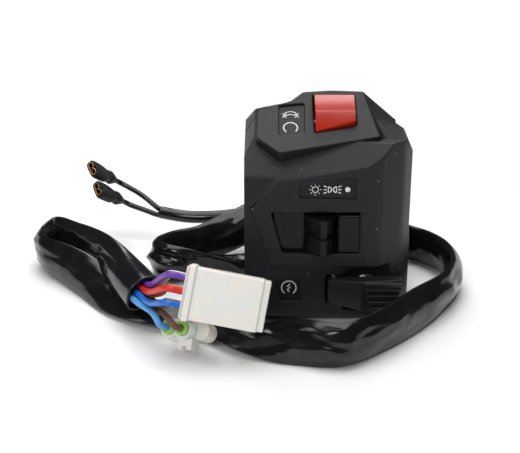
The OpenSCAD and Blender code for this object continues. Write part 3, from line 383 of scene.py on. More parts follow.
# %% Which finish each solid gets
DRESS = {
    housing_black: ["rear_housing", "front_housing"],
    label_black: ["kill_label_plate", "light_label_plate", "starter_label_plate"],
    rocker_red: ["kill_rocker"],
    knob_black: ["light_slider", "light_stop_block"],
    paddle_black: ["starter_paddle"],
    base_grey: ["kill_switch_base", "light_switch_base", "starter_switch_base"],
    steel: [
        "housing_screws", "base_screws", "kill_pivot_pin", "starter_pivot_pin", "kill_detent_ball",
        "light_detent_ball",
    ],
    spring_steel: ["kill_detent_spring", "light_detent_spring", "starter_return_spring"],
    brass: [
        "kill_contact_bridge", "kill_fixed_contacts", "light_contact_bridge", "light_fixed_contacts",
        "starter_contact_cap", "starter_fixed_contacts", "spade_terminals", "six_way_terminals",
        "two_way_terminals",
    ],
    rubber_black: ["loom_grommet", "brake_grommet", "spade_boots", "kill_lead", "light_lead", "starter_lead"],
    nylon: ["six_way_shell", "two_way_shell", "two_way_lock"],
    seal_green: ["two_way_seals"],
}
print("finishes in use:", len(DRESS))

# %% Dress the solids
SHARP = math.radians(28)
TURNED = math.radians(36)
FLAT = math.radians(1)
EDGE_STEPS = 3
JOIN_GAP = 0.002
# Moulded edge radii in millimetres
EDGES = {
    "rear_housing": 0.32, "front_housing": 0.32, "light_slider": 0.25, "light_stop_block": 0.2,
    "starter_paddle": 0.2, "six_way_shell": 0.45,
}


def round_off(piece, radius):
    """Join flat facets into whole faces and round the edges between them."""
    flat = piece.modifiers.new("faces", "DECIMATE")
    flat.decimate_type = "DISSOLVE"
    flat.angle_limit = FLAT
    bevel = piece.modifiers.new("rounding", "BEVEL")
    bevel.width = radius * MM
    bevel.segments = EDGE_STEPS
    bevel.limit_method = "ANGLE"
    bevel.angle_limit = TURNED
    bevel.miter_outer = "MITER_ARC"
    bevel.use_clamp_overlap = False
    bevel.harden_normals = True


def finish_shading(piece):
    """Join the piece's facets and keep only its true edges sharp."""
    bpy.ops.object.select_all(action="DESELECT")
    bpy.context.view_layer.objects.active = piece
    piece.select_set(True)
    bpy.ops.mesh.customdata_custom_splitnormals_clear()
    bpy.ops.object.shade_smooth()
    weld = piece.modifiers.new("join", "WELD")
    weld.merge_threshold = JOIN_GAP * MM
    if piece.name in EDGES:
        round_off(piece, EDGES[piece.name])
    else:
        split = piece.modifiers.new("edges", "EDGE_SPLIT")
        split.split_angle = SHARP


for material, names in DRESS.items():
    for name in names:
        mesh = nodes[name].data
        mesh.materials.clear()
        mesh.materials.append(material)
        finish_shading(nodes[name])
print("dressed", sum(len(v) for v in DRESS.values()), "solids")

# %% [markdown]
# ## Tubes and wires
#
# A cord follows the same route points as its solid, in millimetres. A curve with a round bevel
# could draw it, but the loom sleeve's section changes along the way. So a smooth line runs
# through the points, a ring is laid round it at every step, and one skin joins the rings.

# %% A smooth path
LEVEL_ENOUGH = 0.05


def spline(points, index, part):
    """A point between two route points, on a curve through all of them."""
    a = points[max(index - 1, 0)]
    b, c = points[index], points[index + 1]
    d = points[min(index + 2, len(points) - 1)]
    return b + (c - a + (2 * a - 5 * b + 4 * c - d + (3 * (b - c) + d - a) * part) * part) * (0.5 * part)


def smooth(points, steps):
    rows = [Vector(p) for p in points]
    fine = [spline(rows, i, j / steps) for i in range(len(rows) - 1) for j in range(steps)]
    return fine + [rows[-1]]


def frame_at(path, i):
    """The way, the level side direction and the upward direction of a path at a point."""
    along = (path[min(i + 1, len(path) - 1)] - path[max(i - 1, 0)]).normalized()
    side = along.cross(Vector((0, 0, 1)))
    side = side.normalized() if side.length > LEVEL_ENOUGH else Vector((1, 0, 0))
    return along, side, side.cross(along)


def length_of(path):
    return sum((b - a).length for a, b in zip(path, path[1:])) * MM


print("two points at 8 steps give", len(smooth([(0, 0, 0), (1, 0, 0)], 8)), "points")


# %% A skin over rings
def skin(name, rings, material):
    """A closed mesh over rings of equal count, with a UV map: u round the tube, v along it in millimetres."""
    count = len(rings[0])
    verts = [p * MM for ring in rings for p in ring]
    faces, uvs, run = [], [], 0.0
    for i in range(len(rings) - 1):
        step = (rings[i + 1][0] - rings[i][0]).length
        for k in range(count):
            n = (k + 1) % count
            faces.append((i * count + k, i * count + n, (i + 1) * count + n, (i + 1) * count + k))
            left, right = k / count, (k + 1) / count
            uvs += [(left, run), (right, run), (right, run + step), (left, run + step)]
        run += step
    last = (len(rings) - 1) * count
    faces += [tuple(range(count - 1, -1, -1)), tuple(last + k for k in range(count))]
    uvs += [(0, 0)] * (2 * count)
    mesh = bpy.data.meshes.new(name)
    mesh.from_pydata(verts, [], faces)
    layer = mesh.uv_layers.new(name="along")
    for loop, uv in zip(layer.data, uvs):
        loop.uv = uv
    mesh.shade_smooth()
    mesh.materials.append(material)
    piece = bpy.data.objects.new(name, mesh)
    scene.collection.objects.link(piece)
    return piece


def round_tube(name, points, diameter, material, steps=8, sides=16):
    path = smooth(points, steps)
    rings = []
    for i, p in enumerate(path):
        _, side, up = frame_at(path, i)
        turns = [2 * math.pi * k / sides for k in range(sides)]
        rings.append([p + (side * math.cos(t) + up * math.sin(t)) * (diameter / 2) for t in turns])
    return skin(name, rings, material), path


print("ready to skin tubes")

# %% [markdown]
# ## What the tubing and insulation look like
#
# Loom tubing is soft black PVC with a wet shine and fine wrinkles. Wire insulation is duller
# and waxy, and some wires have a tracer stripe. A pattern could be placed in the room, but it
# would run straight on where a tube bends, so it follows the UV map.


# %% The sleeve's finish
def shiny_pvc():
    """Soft black tubing: a wet-looking skin over fine wrinkles that run along it."""
    finish = Finish("sleeve_pvc", Metallic=0.0, IOR=1.5, Specular_IOR_Level=0.35, Coat_Roughness=0.05)
    where = finish.place()
    uv = finish.node("ShaderNodeTexCoord")["UV"]
    along = finish.node("ShaderNodeMapping", None, Vector=uv, Scale=(9, 0.09, 1))["Vector"]
    wrinkle = finish.noise(along, 1.0, 4.0, 0.6)
    cloud = finish.noise(where, 0.2, 2.0)
    finish.feed(
        Base_Color=finish.mix(cloud, (0.004, 0.004, 0.005), (0.008, 0.008, 0.009)),
        Roughness=finish.between(cloud, 0.3, 0.7, 0.13, 0.22),
        Coat_Weight=finish.between(wrinkle, 0.3, 0.7, 0.1, 0.3),
        Normal=finish.bump(wrinkle, 0.12),
    )
    return finish.material


sleeve_pvc = shiny_pvc()
print("finish made:", sleeve_pvc.name)


# %% The insulation's finish
def wire_skin(name, colour, stripe=None):
    """Insulation: smooth, a little waxy, with an optional tracer stripe along the wire."""
    finish = Finish(name, Metallic=0.0, IOR=1.48)
    uv = finish.node("ShaderNodeTexCoord")["UV"]
    along = finish.node("ShaderNodeMapping", None, Vector=uv, Scale=(3, 0.35, 1))["Vector"]
    rub = finish.noise(along, 1.0, 3.0)
    plain = finish.mix(rub, tuple(c * 0.8 for c in colour), colour)
    if stripe:
        turn = finish.node("ShaderNodeSeparateXYZ", None, uv)["X"]
        band = finish.between(turn, 0.40, 0.43) * (1 - finish.between(turn, 0.60, 0.63))
        plain = finish.mix(band, plain, stripe)
    finish.feed(
        Base_Color=plain,
        Roughness=finish.between(rub, 0.3, 0.7, 0.28, 0.42),
        Normal=finish.bump(rub, 0.02),
    )
    return finish.material


print("insulation can take any colour and tracer")

# %% [markdown]
# ## The loom sleeve
#
# On the real part, flat tubing holds the wires together. It leaves the housing round and goes
# flat as it loops over the table. A cloth simulation could crease it, but would move it off its
# route. So smooth noise presses dents into each ring, sharper where the way bends, and the skin
# turns inwards at the mouth, so that the tube looks hollow.

# %% Where the loom sleeve runs
LOOM_AT = (-9, -18.5)
BRAKE_AT = (2, -19)
OUT_Y = 19.6
STRAIGHT_Y = OUT_Y + 2.6
MOUTH = (-58, -33, -29.4)
MOUTH_ROLL = 138


def leave(at):
    """The straight start of a cord at its grommet."""
    return [(at[0], y, at[1]) for y in (OUT_Y, (OUT_Y + STRAIGHT_Y) / 2, STRAIGHT_Y)]


# Place of the middle line, and the section's roll from lying flat
SLEEVE = [(point, 0) for point in leave(LOOM_AT)] + [
    ((-10.5, 27.4, -21.4), 0), ((-18, 29.6, -25.5), 40), ((-29, 26, -31), 60), ((-42, 20, -34.6), 85),
    ((-52, 15, -34.8), 90), ((-57, 8.5, -34.8), 90), ((-52, 2, -34.8), 90), ((-41, 5.5, -36.4), 45),
    ((-29, 11.5, -38.6), 5), ((-10, 14.5, -38.8), 0), ((10, 15.5, -38.8), 0), ((25, 22, -35), 80),
    ((35, 19, -35), 85), ((42.5, 8, -34.8), 85), ((44, -5, -34.8), 85), ((38, -20, -34.8), 90),
    ((27, -34, -35), 75), ((15, -48, -34.8), 85), ((3, -57, -34.8), 85), ((-11, -53, -35.8), 60),
    ((-24.5, -45, -38.5), 12), ((-36, -34.5, -39.1), 0), ((-45, -30, -39.1), 0), ((-55, -27.5, -39.1), 3),
    ((-66, -20, -38.4), 20), ((-78, -8, -36), 55), ((-88, 2, -35), 75), ((-95, 9, -34.8), 90),
    ((-98.5, 18, -34.5), 90), ((-94, 24.5, -33.4), 90),
    ((-85, 14, -31.5), 92), ((-74, -3, -29), 105), ((-64, -21, -29.4), 130), (MOUTH, MOUTH_ROLL),
]
print("the sleeve's route has", len(SLEEVE), "points")

# %% The sleeve's section
SLEEVE_WIDTH = 14
SLEEVE_THICK = 5.6
GROMMET_ROUND = 9.4
ROUND_SHARE = [1, 1, 1, 0.8, 0.4, 0.1]
MOUTH_SIZE = (13.2, 9)


def sleeve_size(i):
    """Width, thickness and roll of the sleeve at one of its route points."""
    share = ROUND_SHARE[i] if i < len(ROUND_SHARE) else 0
    opening = 1 if i > len(SLEEVE) - 3 else 0
    wide = SLEEVE_WIDTH + (GROMMET_ROUND - SLEEVE_WIDTH) * share + (MOUTH_SIZE[0] - SLEEVE_WIDTH) * opening
    thick = SLEEVE_THICK + (GROMMET_ROUND - SLEEVE_THICK) * share + (MOUTH_SIZE[1] - SLEEVE_THICK) * opening
    return (wide, thick, SLEEVE[i][1])


def crease(run, turn, bend):
    """Depth in millimetres of the dents pressed into the tubing, at a length and a turn round it."""
    c, s = math.cos(turn), math.sin(turn)
    sway = noise.noise(Vector((run * 0.035, c * 1.3, s * 1.3)))
    fold = 1 - 3 * abs(noise.noise(Vector((run * 0.045 + 5, c * 2.1, s * 2.1 + 3))))
    kink = 1 - 3 * abs(noise.noise(Vector((run * 0.13, c * 1.4 + 7, s * 1.4))))
    return sway * 0.6 + fold * 0.3 + kink * (0.06 + 0.9 * bend)


print("the mouth is", sleeve_size(len(SLEEVE) - 1)[:2], "mm")

# %% The sleeve's rings
SLEEVE_SIDES = 56
SLEEVE_STEPS = 14
RESTS_AT = -42
BEND_REACH = 4
SHARP_BEND = 0.9
FULLY_FLAT = 8
LENS = 0.45


def sleeve_rings():
    path = smooth([p for p, _ in SLEEVE], SLEEVE_STEPS)
    sizes = smooth([sleeve_size(i) for i in range(len(SLEEVE))], SLEEVE_STEPS)
    rings, run = [], 0.0
    for i, p in enumerate(path):
        _, side, up = frame_at(path, i)
        run += (p - path[i - 1]).length if i else 0
        ahead = frame_at(path, min(i + BEND_REACH, len(path) - 1))[0]
        behind = frame_at(path, max(i - BEND_REACH, 0))[0]
        bend = min(1.0, ahead.angle(behind, 0) / SHARP_BEND)
        wide, thick, roll = sizes[i]
        roll = math.radians(roll)
        across = side * math.cos(roll) + up * math.sin(roll)
        proud = up * math.cos(roll) - side * math.sin(roll)
        flat = min(1.0, max(0.0, (wide - thick) / FULLY_FLAT))
        ring = []
        for k in range(SLEEVE_SIDES):
            t = 2 * math.pi * k / SLEEVE_SIDES
            c, s = math.cos(t), math.sin(t)
            lens = abs(s) ** (LENS * flat)
            dent = crease(run, t, bend) * abs(s) * flat
            spot = p + across * (c * wide / 2) + proud * (s * lens * (thick / 2 + dent))
            spot.z = max(spot.z, RESTS_AT)
            ring.append(spot)
        rings.append(ring)
    return rings, path


rings, sleeve_path = sleeve_rings()
print("the sleeve has", len(rings), "rings")

# %% The sleeve and its mouth
SLEEVE_WALL = 0.8
MOUTH_DEPTH = 16
# The true section is 14 mm wide and 5.6 mm thick
inner = []
depth = 0.0
for i in range(len(rings) - 1, 0, -1):
    middle = sleeve_path[i]
    inner.append([middle + (p - middle) * (1 - SLEEVE_WALL / (p - middle).length) for p in rings[i]])
    depth += (sleeve_path[i] - sleeve_path[i - 1]).length
    if depth > MOUTH_DEPTH:
        break
main_sleeve = skin("loom_sleeve", rings + inner, sleeve_pvc)
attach(main_sleeve, "housing")
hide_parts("main_sleeve")
tuple(sleeve_path[0] * MM)
length_of(sleeve_path)
[tuple(p * MM) for p in sleeve_path]
print("sleeve", round(length_of(sleeve_path), 3), "m")

# %% [markdown]
# ## Wires
#
# Eight wires leave the sleeve's mouth in two columns, and each ends in its own cell of a
# connector. They could be drawn one by one, but they differ only in colour, in their spot in the
# mouth and in their cell, so one function lays them all.

# %% How a wire leaves the mouth
UP = Vector((0, 0, 1))
MOUTH_WAY = Vector((1, -2, 0)).normalized()
MOUTH_SIDE = Vector((-MOUTH_WAY.y, MOUTH_WAY.x, 0))
mouth_turn = math.radians(MOUTH_ROLL)
mouth_across = UP * math.sin(mouth_turn) - MOUTH_SIDE * math.cos(mouth_turn)
mouth_proud = UP * math.cos(mouth_turn) + MOUTH_SIDE * math.sin(mouth_turn)
WIRE_D = 2
MOUTH_COLUMN = WIRE_D / 2 + 0.08
MOUTH_ROW = WIRE_D + 0.16
MOUTH_IN = 7
MOUTH_OUT = 1


def in_mouth(along, spot):
    """A point along the mouth's own line, in a column and a row of the wires."""
    middle_line = Vector(MOUTH) + MOUTH_WAY * along
    return middle_line + mouth_proud * (spot[0] * MOUTH_COLUMN) + mouth_across * (spot[1] * MOUTH_ROW)


def leave_mouth(spot):
    return [in_mouth(-MOUTH_IN, spot), in_mouth(MOUTH_OUT, spot)]


def lay_wire(colour, insulation, points, spot):
    """One insulated wire from the sleeve's mouth to its connector."""
    wire, path = round_tube("wire_" + colour + "_skin", points, WIRE_D, insulation)
    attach(wire, "housing")
    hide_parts("wire_" + colour)
    tuple(in_mouth(0, spot) * MM)
    length_of(path)
    [tuple(p * MM) for p in path]
    print("wire", colour, round(length_of(path) / MM), "mm")


# %% The wires of the six-way connector
SIX_AT = Vector((-43.9, -50.6, -20.3))
SIX_LEAN = math.radians(22)
SIX_TURN = math.radians(10.5)
SIX_ROWS = (-4.2, 0, 4.2)
SIX_COLUMNS = (-2.8, 2.8)
CELL_APPROACH = (-5, -0.5)
CELL_FROM = 4
six_frame = Matrix.Rotation(-SIX_LEAN, 3, "X") @ Matrix.Rotation(SIX_TURN, 3, "Y")


def six_spot(x, y, z):
    return SIX_AT + six_frame @ Vector((x, y, z))


# Colour, tracer, column and row in the mouth, the free point, and the cell's column and row
SIX_WIRES = [
    ("purple", (0.17, 0.05, 0.42), None, (-1, 1.5), (-52.4, -44, -20.2), 0, 2),
    ("red", (0.72, 0.02, 0.015), None, (-1, 0.5), (-54, -44.6, -23.4), 0, 1),
    ("blue", (0.01, 0.16, 0.62), None, (-1, -0.5), (-54.4, -45, -27), 0, 0),
    ("white", (0.80, 0.77, 0.75), (0.20, 0.05, 0.05), (1, 1.5), (-50, -41.2, -20.6), 1, 2),
    ("orange", (0.85, 0.28, 0.02), None, (1, 0.5), (-51.4, -42.2, -24.9), 1, 1),
    ("grey", (0.25, 0.26, 0.28), None, (1, -0.5), (-50.2, -41.4, -29.6), 1, 0),
]
for colour, shade, tracer, spot, free, column, row in SIX_WIRES:
    cell = [six_spot(x, SIX_COLUMNS[column], SIX_ROWS[row]) for x in (*CELL_APPROACH, CELL_FROM)]
    insulation = wire_skin("wire_" + colour, shade, tracer)
    lay_wire(colour, insulation, leave_mouth(spot) + [free] + cell, spot)
print("six-way wires laid")

# %% [markdown]
# ## Wires of the sealed connector
#
# The two-way connector has a green seal round each wire and lies askew, below the six-way one.
# Its cells could be typed in as points. Here they are found by turning its own frame by three
# angles, as the solid is turned, so that the numbers stay easy to read.

# %% The wires of the two-way connector
TWO_AT = Vector((-46.6, -50.5, -32.6))
TWO_YAW = math.radians(57)
TWO_PITCH = math.radians(33)
TWO_ROLL = math.radians(-12)
TWO_CELLS = (-2.4, 2.4)
TWO_TERMINAL = 3.8
two_frame = (
    Matrix.Rotation(TWO_YAW, 3, "Z") @ Matrix.Rotation(TWO_PITCH, 3, "Y") @ Matrix.Rotation(TWO_ROLL, 3, "X")
)


def two_spot(x, y):
    return TWO_AT + two_frame @ Vector((x, y, 0))


TWO_WIRES = [
    ("brown", (0.16, 0.06, 0.03), (1, -1.5), [(-52.8, -42.4, -31), (-50.2, -50.6, -27.6)], 0),
    ("sky", (0.10, 0.36, 0.75), (-1, -1.5), [(-55, -43.4, -30.2), (-52.8, -50, -28.8)], 1),
]
for colour, shade, spot, free, cell in TWO_WIRES:
    ends = [two_spot(x, TWO_CELLS[cell]) for x in (*CELL_APPROACH, TWO_TERMINAL)]
    lay_wire(colour, wire_skin("wire_" + colour, shade), leave_mouth(spot) + free + ends, spot)
print("two-way wires laid")

# %% [markdown]
# ## The brake-light lead
#
# A thin round sleeve carries the two wires of the brake-light switch to two spade terminals. It
# could be one forked mesh, but three plain tubes are easier to bend. The wires start inside the
# lead, so no gap shows where it ends.

# %% The brake-light lead
BRAKE_ROUTE = leave(BRAKE_AT) + [
    (0, 28.4, -19.5), (-10, 36, -23), (-27.3, 38, -30.2), (-45.4, 38, -31.8), (-58.8, 41, -31),
]
BRAKE_D = 4.6
TAIL_ROOT = (-56.5, 40.6, -31.1)
WIRE_A = [
    TAIL_ROOT, (-59.7, 42.2, -29.7), (-66, 47, -26.4),
    (-71.5, 50, -24.2), (-75.1, 50.4, -22.3), (-76.7, 48, -20.4),
]
WIRE_B = [
    TAIL_ROOT, (-59.4, 40.4, -31.8), (-64.5, 43, -31),
    (-69.5, 45.6, -30.2), (-72.2, 45.8, -28.9), (-73.9, 43.5, -27),
]
TOE_A = Vector((-5.3, -8, 6.4)).normalized()
TOE_B = Vector((-6.1, -8, 6.8)).normalized()
lead, lead_path = round_tube("brake_lead_sleeve", BRAKE_ROUTE, BRAKE_D, sleeve_pvc, steps=12, sides=24)
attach(lead, "housing")
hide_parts("brake_lead")
tail_a, _ = round_tube("brake_wire_upper", WIRE_A, WIRE_D, sleeve_pvc)
tail_b, _ = round_tube("brake_wire_lower", WIRE_B, WIRE_D, sleeve_pvc)
for tail in (tail_a, tail_b):
    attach(tail, "housing")
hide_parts("brake_wires")
print("brake lead", round(length_of(lead_path), 3), "m")

# %% [markdown]
# ## Boots of the brake-light terminals
#
# A boot is a soft sleeve: slim round the wire, swollen over the crimp and flat round the
# terminal. It could be swept as the tubes are, but by hand it is quicker to push a small square
# out step by step and resize each step. A subdivision then rounds it, and the mouth is sunk
# inwards to show the brass.


# %% Starting and closing a piece
def start_piece(name):
    """Name the object that an operator just made and go on with it in edit mode."""
    piece = bpy.context.object
    piece.name = name
    bpy.ops.object.mode_set(mode="EDIT")
    bpy.ops.mesh.select_all(action="SELECT")
    return piece


def close_piece(piece, place, material, body, levels):
    """Round a piece, bring it from its own millimetre frame to its place and give it its finish."""
    bpy.ops.mesh.select_all(action="SELECT")
    bpy.ops.mesh.normals_make_consistent(inside=False)
    bpy.ops.object.mode_set(mode="OBJECT")
    if levels:
        rounder = piece.modifiers.new("round", "SUBSURF")
        rounder.levels = rounder.render_levels = levels
        bpy.ops.object.modifier_apply(modifier=rounder.name)
    piece.matrix_world = Matrix.Scale(MM, 4) @ place
    bpy.ops.object.transform_apply(location=True, rotation=True, scale=True)
    bpy.ops.object.shade_smooth_by_angle(angle=SHARP)
    piece.data.materials.clear()
    piece.data.materials.append(material)
    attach(piece, body)
    return piece


print("ready to model by hand")

# %% The boots
TOE_GAP = 0.35
SPADE_ROLL = math.radians(-42)
HEEL_AT = -1.8
HEEL_SIZE = 2.3
BOOT_WALL = 0.55
BOOT_HOLLOW = 6
BOOT_ROUNDING = 2
# Distance along the boot, width and thickness
BOOT_STEPS = [
    (-0.8, 2.7, 2.7), (0.2, 3.4, 3.3), (1.4, 4.5, 4.1), (2.6, 4.5, 4.0), (3.8, 4.0, 3.4),
    (5.2, 5.6, 3.3), (6.6, 6.8, 3.5), (10.0, 7.0, 3.7), (12.4, 6.9, 3.7), (13.0, 6.7, 3.5),
]


def toe_frame(route, toe):
    """A boot's own frame: x along its toe, from just past the wire's end."""
    turn = Matrix.Rotation(math.atan2(toe.y, toe.x), 4, "Z") @ Matrix.Rotation(-math.asin(toe.z), 4, "Y")
    return Matrix.Translation(Vector(route[-1]) + toe * TOE_GAP) @ turn @ Matrix.Rotation(SPADE_ROLL, 4, "X")


def boot(name, place):
    bpy.ops.object.select_all(action="DESELECT")
    bpy.ops.mesh.primitive_plane_add(size=HEEL_SIZE, rotation=(0, math.pi / 2, 0), location=(HEEL_AT, 0, 0))
    bpy.ops.object.transform_apply(location=True, rotation=True, scale=True)
    piece = start_piece(name)
    bpy.ops.mesh.subdivide(number_cuts=1)
    at, wide, thick = HEEL_AT, HEEL_SIZE, HEEL_SIZE
    for step, width, thickness in BOOT_STEPS:
        bpy.ops.mesh.extrude_region_move(TRANSFORM_OT_translate={"value": (step - at, 0, 0)})
        bpy.ops.transform.resize(value=(1, width / wide, thickness / thick), center_override=(step, 0, 0))
        at, wide, thick = step, width, thickness
    bpy.ops.mesh.inset(thickness=BOOT_WALL, depth=0)
    bpy.ops.mesh.extrude_region_move(TRANSFORM_OT_translate={"value": (-BOOT_HOLLOW, 0, 0)})
    return close_piece(piece, place, rubber_black, "housing", BOOT_ROUNDING)


boot_a = boot("boot_upper", toe_frame(WIRE_A, TOE_A))
boot_b = boot("boot_lower", toe_frame(WIRE_B, TOE_B))
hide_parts("spade_boots")
print("boots with", len(boot_a.data.polygons), "faces each")

# %% [markdown]
# ## The brass receptacles
#
# A receptacle is a strip of sheet brass whose edges roll inwards to grip a flat blade. It could
# be folded up face by face, but its section is one pen line. So that line is drawn as a curve,
# pulled along the terminal and given the sheet's thickness by Solidify.

# %% The brass receptacles
# One half of the rolled section, from the curl's tip round to the middle of the floor
RECEPTACLE_HALF = [
    (0.35, 0.0), (0.28, 0.45), (0.5, 0.82), (0.95, 0.95), (1.9, 0.95), (2.35, 0.78),
    (2.55, 0.35), (2.55, -0.4), (2.35, -0.8), (1.9, -0.95), (0, -0.95),
]
RECEPTACLE_FROM = 6.0
RECEPTACLE_TO = 13.1
SHEET_THICK = 0.3


def receptacle(name, place):
    """A strip of brass whose two edges roll inwards, seen in the boot's mouth."""
    section = RECEPTACLE_HALF + [(-y, z) for y, z in RECEPTACLE_HALF[-2::-1]]
    curve = bpy.data.curves.new(name, "CURVE")
    curve.dimensions = "2D"
    curve.fill_mode = "NONE"
    curve.extrude = (RECEPTACLE_TO - RECEPTACLE_FROM) / 2
    line = curve.splines.new("POLY")
    line.points.add(len(section) - 1)
    for point, (y, z) in zip(line.points, section):
        point.co = (y, z, 0, 1)
    strip = bpy.data.objects.new(name, curve)
    scene.collection.objects.link(strip)
    bpy.ops.object.select_all(action="DESELECT")
    strip.select_set(True)
    bpy.context.view_layer.objects.active = strip
    bpy.ops.object.convert(target="MESH")
    strip = bpy.context.object
    wall = strip.modifiers.new("sheet", "SOLIDIFY")
    wall.thickness = SHEET_THICK
    wall.offset = 0
    bpy.ops.object.modifier_apply(modifier=wall.name)
    centre = (RECEPTACLE_FROM + RECEPTACLE_TO) / 2
    along = Matrix(((0, 0, 1, centre), (1, 0, 0, 0), (0, 1, 0, 0), (0, 0, 0, 1)))
    bpy.ops.object.mode_set(mode="EDIT")
    return close_piece(strip, place @ along, brass, "housing", 0)


receptacle_a = receptacle("receptacle_upper", toe_frame(WIRE_A, TOE_A))
receptacle_b = receptacle("receptacle_lower", toe_frame(WIRE_B, TOE_B))
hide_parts("spade_terminals")
tuple(lead_path[0] * MM)
length_of(lead_path)
[tuple(p * MM) for p in lead_path]
print("receptacles", round(RECEPTACLE_TO - RECEPTACLE_FROM, 1), "mm long")

# %% [markdown]
# ## The paddle's return spring
#
# The paddle presses on a small coil. A solid coil can't get shorter, so it is wound again
# here as a tube round its axis.

# %% The return coil
COIL_TURNS = 4
COIL_STEPS = 20
COIL_SIDES = 8
COIL_WIRE = 0.6
low, high = (Vector(corner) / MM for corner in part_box("starter_return_spring"))
middle = (low + high) / 2
coil_radius = (high.x - low.x - COIL_WIRE) / 2
coil_length = high.y - low.y - COIL_WIRE
coil_rings = []
for i in range(COIL_TURNS * COIL_STEPS + 1):
    turn = 2 * math.pi * i / COIL_STEPS
    rise = high.y - COIL_WIRE / 2 - coil_length * i / (COIL_TURNS * COIL_STEPS)
    outward = Vector((math.cos(turn), 0, math.sin(turn)))
    spot = Vector((middle.x, rise, middle.z)) + outward * coil_radius
    angles = [2 * math.pi * k / COIL_SIDES for k in range(COIL_SIDES)]
    spokes = [Vector((0, math.cos(a), 0)) + outward * math.sin(a) for a in angles]
    coil_rings.append([spot + spoke * (COIL_WIRE / 2) for spoke in spokes])
return_coil = skin("return_coil", coil_rings, spring_steel)
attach(return_coil, "housing")
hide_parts("starter_return_spring")
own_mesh(return_coil)
print("return coil", round(coil_length, 1), "mm")

# %% [markdown]
# ## Printed symbols
#
# The standard control symbols are white print on the label plates. They could be painted in the
# plates' finish, but small print stays crisp as geometry. Each one is drawn as pen strokes on a
# curve, turned into a mesh, pressed nearly flat and laid on its plate.

# %% Pen strokes
PRINT_FLAT = 0.25
PEN_ROUNDING = 3


def white_print():
    finish = Finish("print_white", Metallic=0.0)
    wear = finish.noise(finish.place(), 1.6, 3.0)
    finish.feed(
        Base_Color=finish.mix(finish.between(wear, 0.3, 0.6), (0.62, 0.62, 0.62), (0.85, 0.85, 0.85)),
        Roughness=finish.between(wear, 0.3, 0.7, 0.4, 0.6),
    )
    return finish.material


print_white = white_print()


def arc(radius, start, end, steps=24, centre=(0, 0)):
    turns = [math.radians(start + (end - start) * i / steps) for i in range(steps + 1)]
    return [(centre[0] + radius * math.cos(t), centre[1] + radius * math.sin(t)) for t in turns]


def symbol(name, strokes, pen, plate, at):
    """White print made of pen strokes in millimetres, centred at a spot of a label plate."""
    curve = bpy.data.curves.new(name, "CURVE")
    curve.dimensions = "3D"
    curve.bevel_depth = pen / 2
    curve.bevel_resolution = PEN_ROUNDING
    curve.use_fill_caps = True
    for stroke in strokes:
        line = curve.splines.new("POLY")
        line.points.add(len(stroke) - 1)
        for point, (x, y) in zip(line.points, stroke):
            point.co = (x, y, 0, 1)
    piece = bpy.data.objects.new(name, curve)
    scene.collection.objects.link(piece)
    bpy.ops.object.select_all(action="DESELECT")
    piece.select_set(True)
    bpy.context.view_layer.objects.active = piece
    bpy.ops.object.convert(target="MESH")
    piece = bpy.context.object
    bpy.ops.transform.resize(value=(1, 1, PRINT_FLAT))
    bpy.ops.object.transform_apply(location=False, rotation=False, scale=True)
    piece.matrix_world = Matrix.Scale(MM, 4) @ plate @ Matrix.Translation((*at, 0))
    bpy.ops.object.transform_apply(location=True, rotation=True, scale=True)
    piece.data.materials.append(print_white)
    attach(piece, "housing")


print("finish made:", print_white.name)

# %% Where the plates are
FACE_Y = -31
BLOCK_RAISE = 1
LABEL_SINK = 0.7
LIP = (0, -25.6, 17.5)
PANEL_TILT = math.radians(30)
upright = Matrix.Rotation(math.pi / 2, 4, "X")
panel_plate = Matrix.Translation(LIP) @ Matrix.Rotation(PANEL_TILT, 4, "X")
panel_plate = panel_plate @ Matrix.Translation((0, 0, -LABEL_SINK))
face_plate = Matrix.Translation((0, FACE_Y + LABEL_SINK, 0)) @ upright
low_plate = Matrix.Translation((0, FACE_Y + BLOCK_RAISE + LABEL_SINK, 0)) @ upright
print("plates on the face at", FACE_Y + LABEL_SINK, "mm")

# %% The symbols
rays_of_sun = [
    [(r * math.cos(t), r * math.sin(t)) for r in (1.45, 1.85)] for t in (math.pi * k / 4 for k in range(8))
]
symbol("sun_symbol", [arc(0.95, 0, 360), *rays_of_sun], 0.26, face_plate, (-4.6, 4.1))
lamp_strokes = []
for side in (-1, 1):
    turns = [math.pi * (k / 16 - 0.5) for k in range(17)]
    bowl = [(side * (1.24 - 0.98 * math.cos(turn)), 0.9 * math.sin(turn)) for turn in turns]
    lamp_strokes.append([*bowl, bowl[0]])
    for rise in (-1, 0, 1):
        lamp_strokes.append([(side * 1.75, rise * 0.8), (side * 2.7, rise * 1.25)])
symbol("lamps_symbol", lamp_strokes, 0.34, face_plate, (0.6, 4.1))
symbol("off_symbol", [arc(0.4, 0, 360, 16)], 0.9, face_plate, (5.3, 4.1))
bolt = [(0.35, 1.35), (-0.5, 0.45), (0.4, 0.15), (-0.45, -0.7), (0.1, -1.35)]
symbol("start_symbol", [arc(2.3, -55, 235), bolt], 0.36, low_plate, (-12.3, -29.2))
cross = [[(s * 1.4, -1.1), (s * 2.5, 0.7)] for s in (-1, 1)]
cross += [[(s * 2.5, -1.1), (s * 1.4, 0.7)] for s in (-1, 1)]
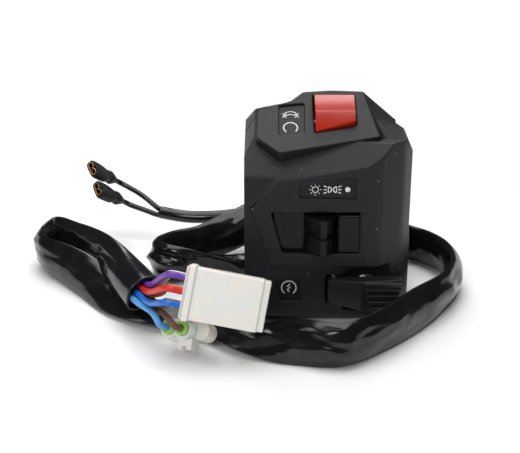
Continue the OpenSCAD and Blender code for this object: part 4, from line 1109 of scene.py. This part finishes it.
stop_arcs = [arc(2.6, 42, 138, 12, (0, -1.1)), arc(2.2, 45, 135, 12, (0, -1.9))]
symbol("stop_symbol", stop_arcs + cross, 0.26, panel_plate, (-11.9, 12.2))
symbol("run_symbol", [arc(2.15, -45, 232)], 0.36, panel_plate, (-12, 6.9))

# %% [markdown]
# ## The white table
#
# The picture is on plain white. Stronger lamps could bleach the table, but they would bleach the
# object too. So the table is pale near the object, where it keeps the shadow, and turns to plain
# white further out for the camera, for reflections and for see-through pieces. Other rays see
# the pale table, so the white adds no light to the object.

# %% The table's finish
TABLE_CENTRE = (-25, -8, 0)
FADE_FROM, FADE_TO = 75, 170


def white_table():
    """A pale table that keeps the shadow near the object and fades to plain white further out."""
    finish = Finish("table_white", Metallic=0.0, Specular_IOR_Level=0.1)
    where = finish.place()
    spots = finish.noise(where, 0.02, 2.0)
    finish.feed(
        Base_Color=finish.mix(spots, (0.88, 0.88, 0.88), (0.9, 0.9, 0.9)),
        Roughness=finish.between(spots, 0, 1, 0.6, 0.75),
    )
    centre = finish.node("ShaderNodeVectorMath", {"operation": "SUBTRACT"}, where, TABLE_CENTRE)["Vector"]
    reach = finish.node("ShaderNodeVectorMath", {"operation": "LENGTH"}, centre)["Value"]
    glow = finish.node("ShaderNodeEmission", None, Color=(1, 1, 1), Strength=1.0)["Emission"]
    shader = Socket(finish, finish.shader.outputs["BSDF"])
    rays = finish.node("ShaderNodeLightPath")
    seen = rays["Is Camera Ray"] + rays["Is Glossy Ray"] + rays["Is Transmission Ray"]
    fade = finish.between(reach, FADE_FROM, FADE_TO) * seen.math("MINIMUM", 1)
    mixed = finish.node("ShaderNodeMixShader", None, fade, shader, glow)["Shader"]
    finish.tree.links.new(mixed.output, finish.tree.nodes["Material Output"].inputs["Surface"])
    return finish.material


table.data.materials.append(white_table())
print("table ready")

# %% [markdown]
# ## Closing
#

# %% Close
print("scene dressed")
